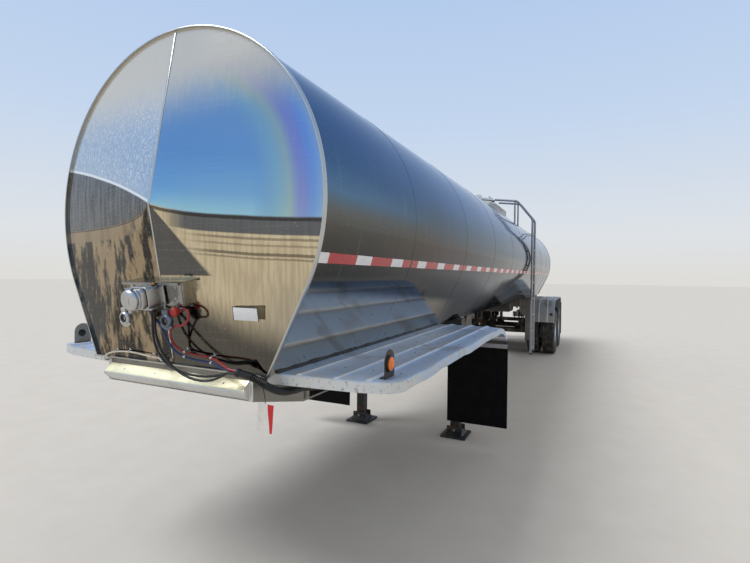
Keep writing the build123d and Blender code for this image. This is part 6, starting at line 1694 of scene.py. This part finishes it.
def raised_frame(bm, low, high):
    """A raised frame on a door's face, between two corners in Y and Z."""
    (y0, z0), (y1, z1) = low, high
    part = sheet(1, 1, y1 - y0, z1 - z0)
    bmesh.ops.inset_region(part, faces=list(part.faces), thickness=0.016, use_even_offset=True)
    inside = min(part.faces, key=lambda f: f.calc_center_median().length)
    bmesh.ops.delete(part, geom=[inside], context="FACES")
    thickened(part, part.faces, (0, 0, 0.0065))
    softened(part, [e for e in part.edges if all(v.co.z > 0.006 for v in e.verts)], 0.002)
    to_back = Matrix(((0, 0, -1, 0), (1, 0, 0, 0), (0, 1, 0, 0), (0, 0, 0, 1)))
    middle = Matrix.Translation((DOOR_FACE + 0.001, (y0 + y1) / 2, (z0 + z1) / 2))
    bmesh.ops.transform(part, matrix=middle @ to_back, verts=part.verts)
    add_part(bm, part)


for side, side_name in SIDE_NAMES.items():
    bm = fresh()
    near_y, far_y = sorted((side * 0.003, side * 0.418))
    slab(bm, (DOOR_FACE, near_y, 0.95), (DOOR_BACK, far_y, 1.76), 0.003)
    raised_frame(bm, (near_y + 0.022, 0.975), (far_y - 0.022, 1.735))
    latch_y = side * 0.08
    slab(bm, (-6.3455, latch_y - 0.044, 1.27), (-6.341, latch_y + 0.044, 1.41), 0.0022, index=1)
    slab(bm, (-6.3492, latch_y - 0.03, 1.288), (-6.3445, latch_y + 0.03, 1.36), 0.0022, index=2)
    rod(bm, (-6.3452, latch_y, 1.388), (-6.349, latch_y, 1.388), 0.011, sides=20, index=2)
    for hinge_z in (1.1, 1.61):
        leaf_low, leaf_high = hinge_z - 0.026, hinge_z + 0.026
        slab(bm, (-6.3452, side * 0.3, leaf_low), (-6.3412, side * 0.428, leaf_high), 0.0018, index=1)
        for bolt_y in (0.322, 0.352, 0.382):
            hex_bolt(bm, (-6.3445, side * bolt_y, hinge_z), BACK, 0.006, index=2)
        low_z, high_z = hinge_z - KNUCKLE_HALF, hinge_z + KNUCKLE_HALF
        rod(bm, (-6.3403, side * 0.434, low_z), (-6.3403, side * 0.434, high_z), 0.0088, index=1)
        slab(bm, (-6.342, side * 0.412, low_z), (-6.334, side * 0.434, high_z), 0.001, index=1)
    finished(
        bm, f"pressed_door_{side_name}", [BRIGHT, EDGE, CAST], body=f"door_{side_name}",
        stands_for=f"cabinet_door_{side_name}",
    )

# Hems and bolts along the cabinet's edges
bm = fresh()
for edge_y in SIDES:
    y = edge_y * 0.4195
    for low_z, front_x in ((0.953, -5.75), (1.745, -5.8)):
        slab(bm, (-6.316, y - 0.0018, low_z), (front_x, y + 0.0018, low_z + 0.012), 0.001)
    for step in range(5):
        hex_bolt(bm, (-5.86 - step * 0.1, edge_y * 0.4212, 0.959), (0, edge_y, 0), 0.005)
slab(bm, (-6.324, -0.425, 1.7595), (-5.8, 0.425, 1.7635), 0.0015)
finished(bm, "cabinet_hems", EDGE)

# Outlet: a clamp round the ferrule, a dust cap, and the valve's lever grip
bm = fresh()
ferrule = Vector((TAIL_X - 0.33, 0, 1.19))
clamp = ((-0.006, 0.0458), (-0.006, 0.0555), (0.002, 0.0575), (0.012, 0.0555), (0.012, 0.0458))
lathe(bm, clamp, ferrule, FORWARD, steps=40, index=1)
dust_cap = ((-0.0062, 0.0455), (-0.0105, 0.045), (-0.0125, 0.04), (-0.0125, 0))
lathe(bm, dust_cap, ferrule, FORWARD, steps=40)
offset_rod(bm, ferrule, (0.003, 0.04, 0.05), (0.003, -0.02, 0.072), 0.006, sides=12, index=1)
lever_x = TAIL_X - 0.165
for side in SIDES:
    rod(bm, (lever_x, side * 0.105, 1.29), (lever_x, side * 0.147, 1.29), 0.014, 0.012, sides=20, index=2)
finished(bm, "outlet_clamp", [BRIGHT, CAST, SEAL])

# Bumper: end caps, rubber blocks, striped tape and the blank plate with its lamp
BUMPER = (TAIL_X - 0.565, 0, 0)
bm = fresh()
for side in SIDES:
    for y, half, low, high, bevel, index in (
        (1.095, 0.004, (-0.049, 0.502), (0.049, 0.598), 0.003, 0),
        (0.482, 0.06, (-0.04, 0.599), (0.04, 0.609), 0.002, 0),
        (0.3, 0.05, (-0.062, 0.515), (-0.049, 0.585), 0.005, 1),
    ):
        low_corner, high_corner = (low[0], side * y - half, low[1]), (high[0], side * y + half, high[1])
        offset_slab(bm, BUMPER, low_corner, high_corner, bevel, index=index)
    hex_bolt(bm, Vector(BUMPER) + Vector((-0.0615, side * 0.3, 0.55)), BACK, 0.01, index=2)
for y in (-0.095, 0.095):
    offset_slab(bm, BUMPER, (-0.04, y - 0.015, 0.598), (-0.034, y + 0.015, 0.77), 0.001)
finished(bm, "bumper_fittings", [FRAME, SEAL, GALVANISED])
PLATE_WHITE = coated("plate_white", tone(224, 224, 218), rough=0.4, dusty=0.12)
bm = fresh()
offset_slab(bm, BUMPER, (-0.0425, -0.152, 0.625), (-0.0405, 0.152, 0.777), 0.0008)
for side in SIDES:
    for rise in (0.64, 0.762):
        hex_bolt(bm, Vector(BUMPER) + Vector((-0.0425, side * 0.125, rise)), BACK, 0.005, index=1)
offset_slab(bm, BUMPER, (-0.06, -0.04, 0.779), (-0.034, 0.04, 0.797), 0.004, index=2)
finished(bm, "blank_licence_plate", [PLATE_WHITE, GALVANISED, SEAL])
bm = fresh()
for side in SIDES:
    offset_slab(bm, BUMPER, (-0.0508, side * 0.37, 0.526), (-0.05, side * 1.088, 0.576), 0)
finished(bm, "bumper_tape", striped_tape("bumper_tape", "y", 0.0))

# Rear lamps: ribbed red lenses in rubber grommets
LAMP_X = -6.244
bm = fresh()
grommet = ((0.0, 0.0595), (0.009, 0.0585), (0.012, 0.054), (0.008, 0.0505))
glass = (
    (0.006, 0.0515), (0.017, 0.0512), (0.0205, 0.048), (0.0215, 0.0405), (0.0208, 0.0395), (0.0222, 0.03),
    (0.0214, 0.029), (0.0226, 0.019), (0.0218, 0.018), (0.0228, 0.0),
)
for side in SIDES:
    for lamp_y in (0.65, 0.81, 0.97):
        place = (LAMP_X, side * lamp_y, 1.11)
        lathe(bm, grommet, place, BACK, steps=44, index=1)
        lathe(bm, glass, place, BACK, steps=44)
finished(bm, "ribbed_rear_lamps", [RED, SEAL], stands_for="rear_lamps")

# Ladder: rubber feet, weld beads at the rungs and a joint in each rail
bm = fresh()
LADDER_X = station(7.4)
LADDER_Y = RADIUS + 0.045
for end in SIDES:
    rail_x = LADDER_X + end * 0.2
    rod(bm, (rail_x, LADDER_Y, 0.3602), (rail_x, LADDER_Y, 0.392), 0.0205, sides=24, index=1)
    for step in range(8):
        bead = ((-0.006, 0.013), (-0.002, 0.015), (0.002, 0.0175))
        lathe(bm, bead, (rail_x - end * 0.019, LADDER_Y, 0.48 + step * 0.305), (end, 0, 0), steps=18)
    joint = ((-0.01, 0.019), (-0.006, 0.0208), (0.006, 0.0208), (0.01, 0.019))
    lathe(bm, joint, (rail_x, LADDER_Y, 2.75), UP, steps=24)
finished(bm, "ladder_fittings", [GALVANISED, SEAL])

# Tread plate of the platform: short crossed studs
TREAD = metal("tread_plate", tone(170, 170, 168), 0.34, dirt=tone(120, 112, 100), speck=0.5)
turned = (TREAD.x + TREAD.y) * 22.0
crossed = (TREAD.x - TREAD.y) * 22.0
studs = (turned % 1.0).near(0.5, 0.12, 0.1) * (crossed % 1.0).near(0.5, 0.34, 0.08)
other = ((turned + 0.5) % 1.0).near(0.5, 0.34, 0.08) * ((crossed + 0.5) % 1.0).near(0.5, 0.12, 0.1)
TREAD.bump(studs + other, distance=0.0016, strength=0.9)

# The CAD nodes that show keep their shapes and get their finishes
for node, paint in {
    "upper_coupler": COUPLER, "kingpin": FORGED, "fender_brackets": FRAME, "flap_hangers": FRAME,
    "rear_subframe": SUBFRAME, "portal_bulkhead": SUBFRAME, "spring_hangers": FRAME, "landing_legs": LEG,
    "landing_beam": LEG, "landing_braces": LEG, "landing_crank": LEG, "leaf_springs": SPRING,
    "equalizers": SPRING, "axles": AXLE, "brake_chambers": AXLE, "air_reservoirs": AXLE, "ladder": GALVANISED,
    "ladder_handrails": GALVANISED, "manhole_collar": BRIGHT, "manhole_lid": BRIGHT, "valve_cabinet": BRIGHT,
    "outlet_valve": BRIGHT, "lamp_panels": FRAME, "rear_bumper": FRAME, "top_platform": TREAD,
}.items():
    dress(node, paint)

# Camera and floor
FOCAL_PIXELS, PICTURE_WIDTH, SENSOR = 457.7, 750, 36.0
EYE = (RIM_X + 1.7176, 1.9785, AXIS - 0.3438)
YAW, PITCH, ROLL = 0.4435, -0.0138, 0.0102
scene = bpy.context.scene
lens_data = bpy.data.cameras.new("view")
lens_data.sensor_fit = "HORIZONTAL"
lens_data.sensor_width = SENSOR
lens_data.lens = FOCAL_PIXELS / PICTURE_WIDTH * SENSOR
lens_data.clip_end = 300
camera = bpy.data.objects.new("view", lens_data)
scene.collection.objects.link(camera)
forward = Vector((-cos(YAW) * cos(PITCH), -sin(YAW) * cos(PITCH), sin(PITCH)))
level = forward.cross(Vector(UP)).normalized()
upright = level.cross(forward)
right = cos(ROLL) * level + sin(ROLL) * upright
up = -sin(ROLL) * level + cos(ROLL) * upright
camera.matrix_world = Matrix.Translation(EYE) @ Matrix((right, up, -forward)).transposed().to_4x4()
scene.camera = camera
scene.view_settings.view_transform = "Standard"

floor_paint = Paint("pale_floor", Roughness=0.9, Specular_IOR_Level=0.1)
grit = floor_paint.noise(3.0, 5.0)
floor_paint.set("Base Color", floor_paint.mix(tone(208, 204, 198), tone(220, 217, 212), grit))
bm = fresh()
bmesh.ops.create_grid(bm, x_segments=1, y_segments=1, size=120.0)
floor_mesh = bpy.data.meshes.new("floor")
bm.to_mesh(floor_mesh)
bm.free()
floor_mesh.materials.append(floor_paint.material)
floor = bpy.data.objects.new("floor", floor_mesh)
scene.collection.objects.link(floor)

# Soft light: even and pale on the object, with a sky for the camera and for what the metal shows
world = bpy.data.worlds.new("studio")
scene.world = world
world.use_nodes = True
nodes, links = world.node_tree.nodes, world.node_tree.links
where = nodes.new("ShaderNodeTexCoord")
heights = nodes.new("ShaderNodeSeparateXYZ")
links.new(where.outputs["Generated"], heights.inputs[0])
backdrop = nodes.new("ShaderNodeValToRGB")
links.new(heights.outputs[2], backdrop.inputs[0])
sky = (
    (0.0, tone(222, 221, 217)),
    (0.08, tone(222, 226, 230)),
    (0.3, tone(196, 214, 238)),
    (0.65, tone(168, 196, 234)),
    (1.0, tone(150, 184, 230)),
)
set_stops(backdrop.color_ramp, sky)
rays = nodes.new("ShaderNodeLightPath")
seen = nodes.new("ShaderNodeMath")
seen.operation = "MAXIMUM"
links.new(rays.outputs["Is Camera Ray"], seen.inputs[0])
seen_in_metal = nodes.new("ShaderNodeMath")
seen_in_metal.operation = "MAXIMUM"
links.new(rays.outputs["Is Glossy Ray"], seen_in_metal.inputs[0])
links.new(rays.outputs["Is Transmission Ray"], seen_in_metal.inputs[1])
links.new(seen_in_metal.outputs[0], seen.inputs[1])
choice = nodes.new("ShaderNodeMix")
choice.data_type = "RGBA"
links.new(seen.outputs[0], choice.inputs[0])
choice.inputs[6].default_value = (0.56, 0.565, 0.575, 1)
links.new(backdrop.outputs[0], choice.inputs[7])
links.new(choice.outputs[2], nodes["Background"].inputs[0])
nodes["Background"].inputs[1].default_value = 1.0


def sun(name, direction, strength, spread):
    """A soft sun that shines along a direction."""
    data = bpy.data.lights.new(name, "SUN")
    data.energy = strength
    data.angle = spread
    lamp = bpy.data.objects.new(name, data)
    scene.collection.objects.link(lamp)
    lamp.matrix_world = turned_to([-c for c in direction])


sun("key", (-0.34, 0.42, -0.84), 1.7, 0.5)
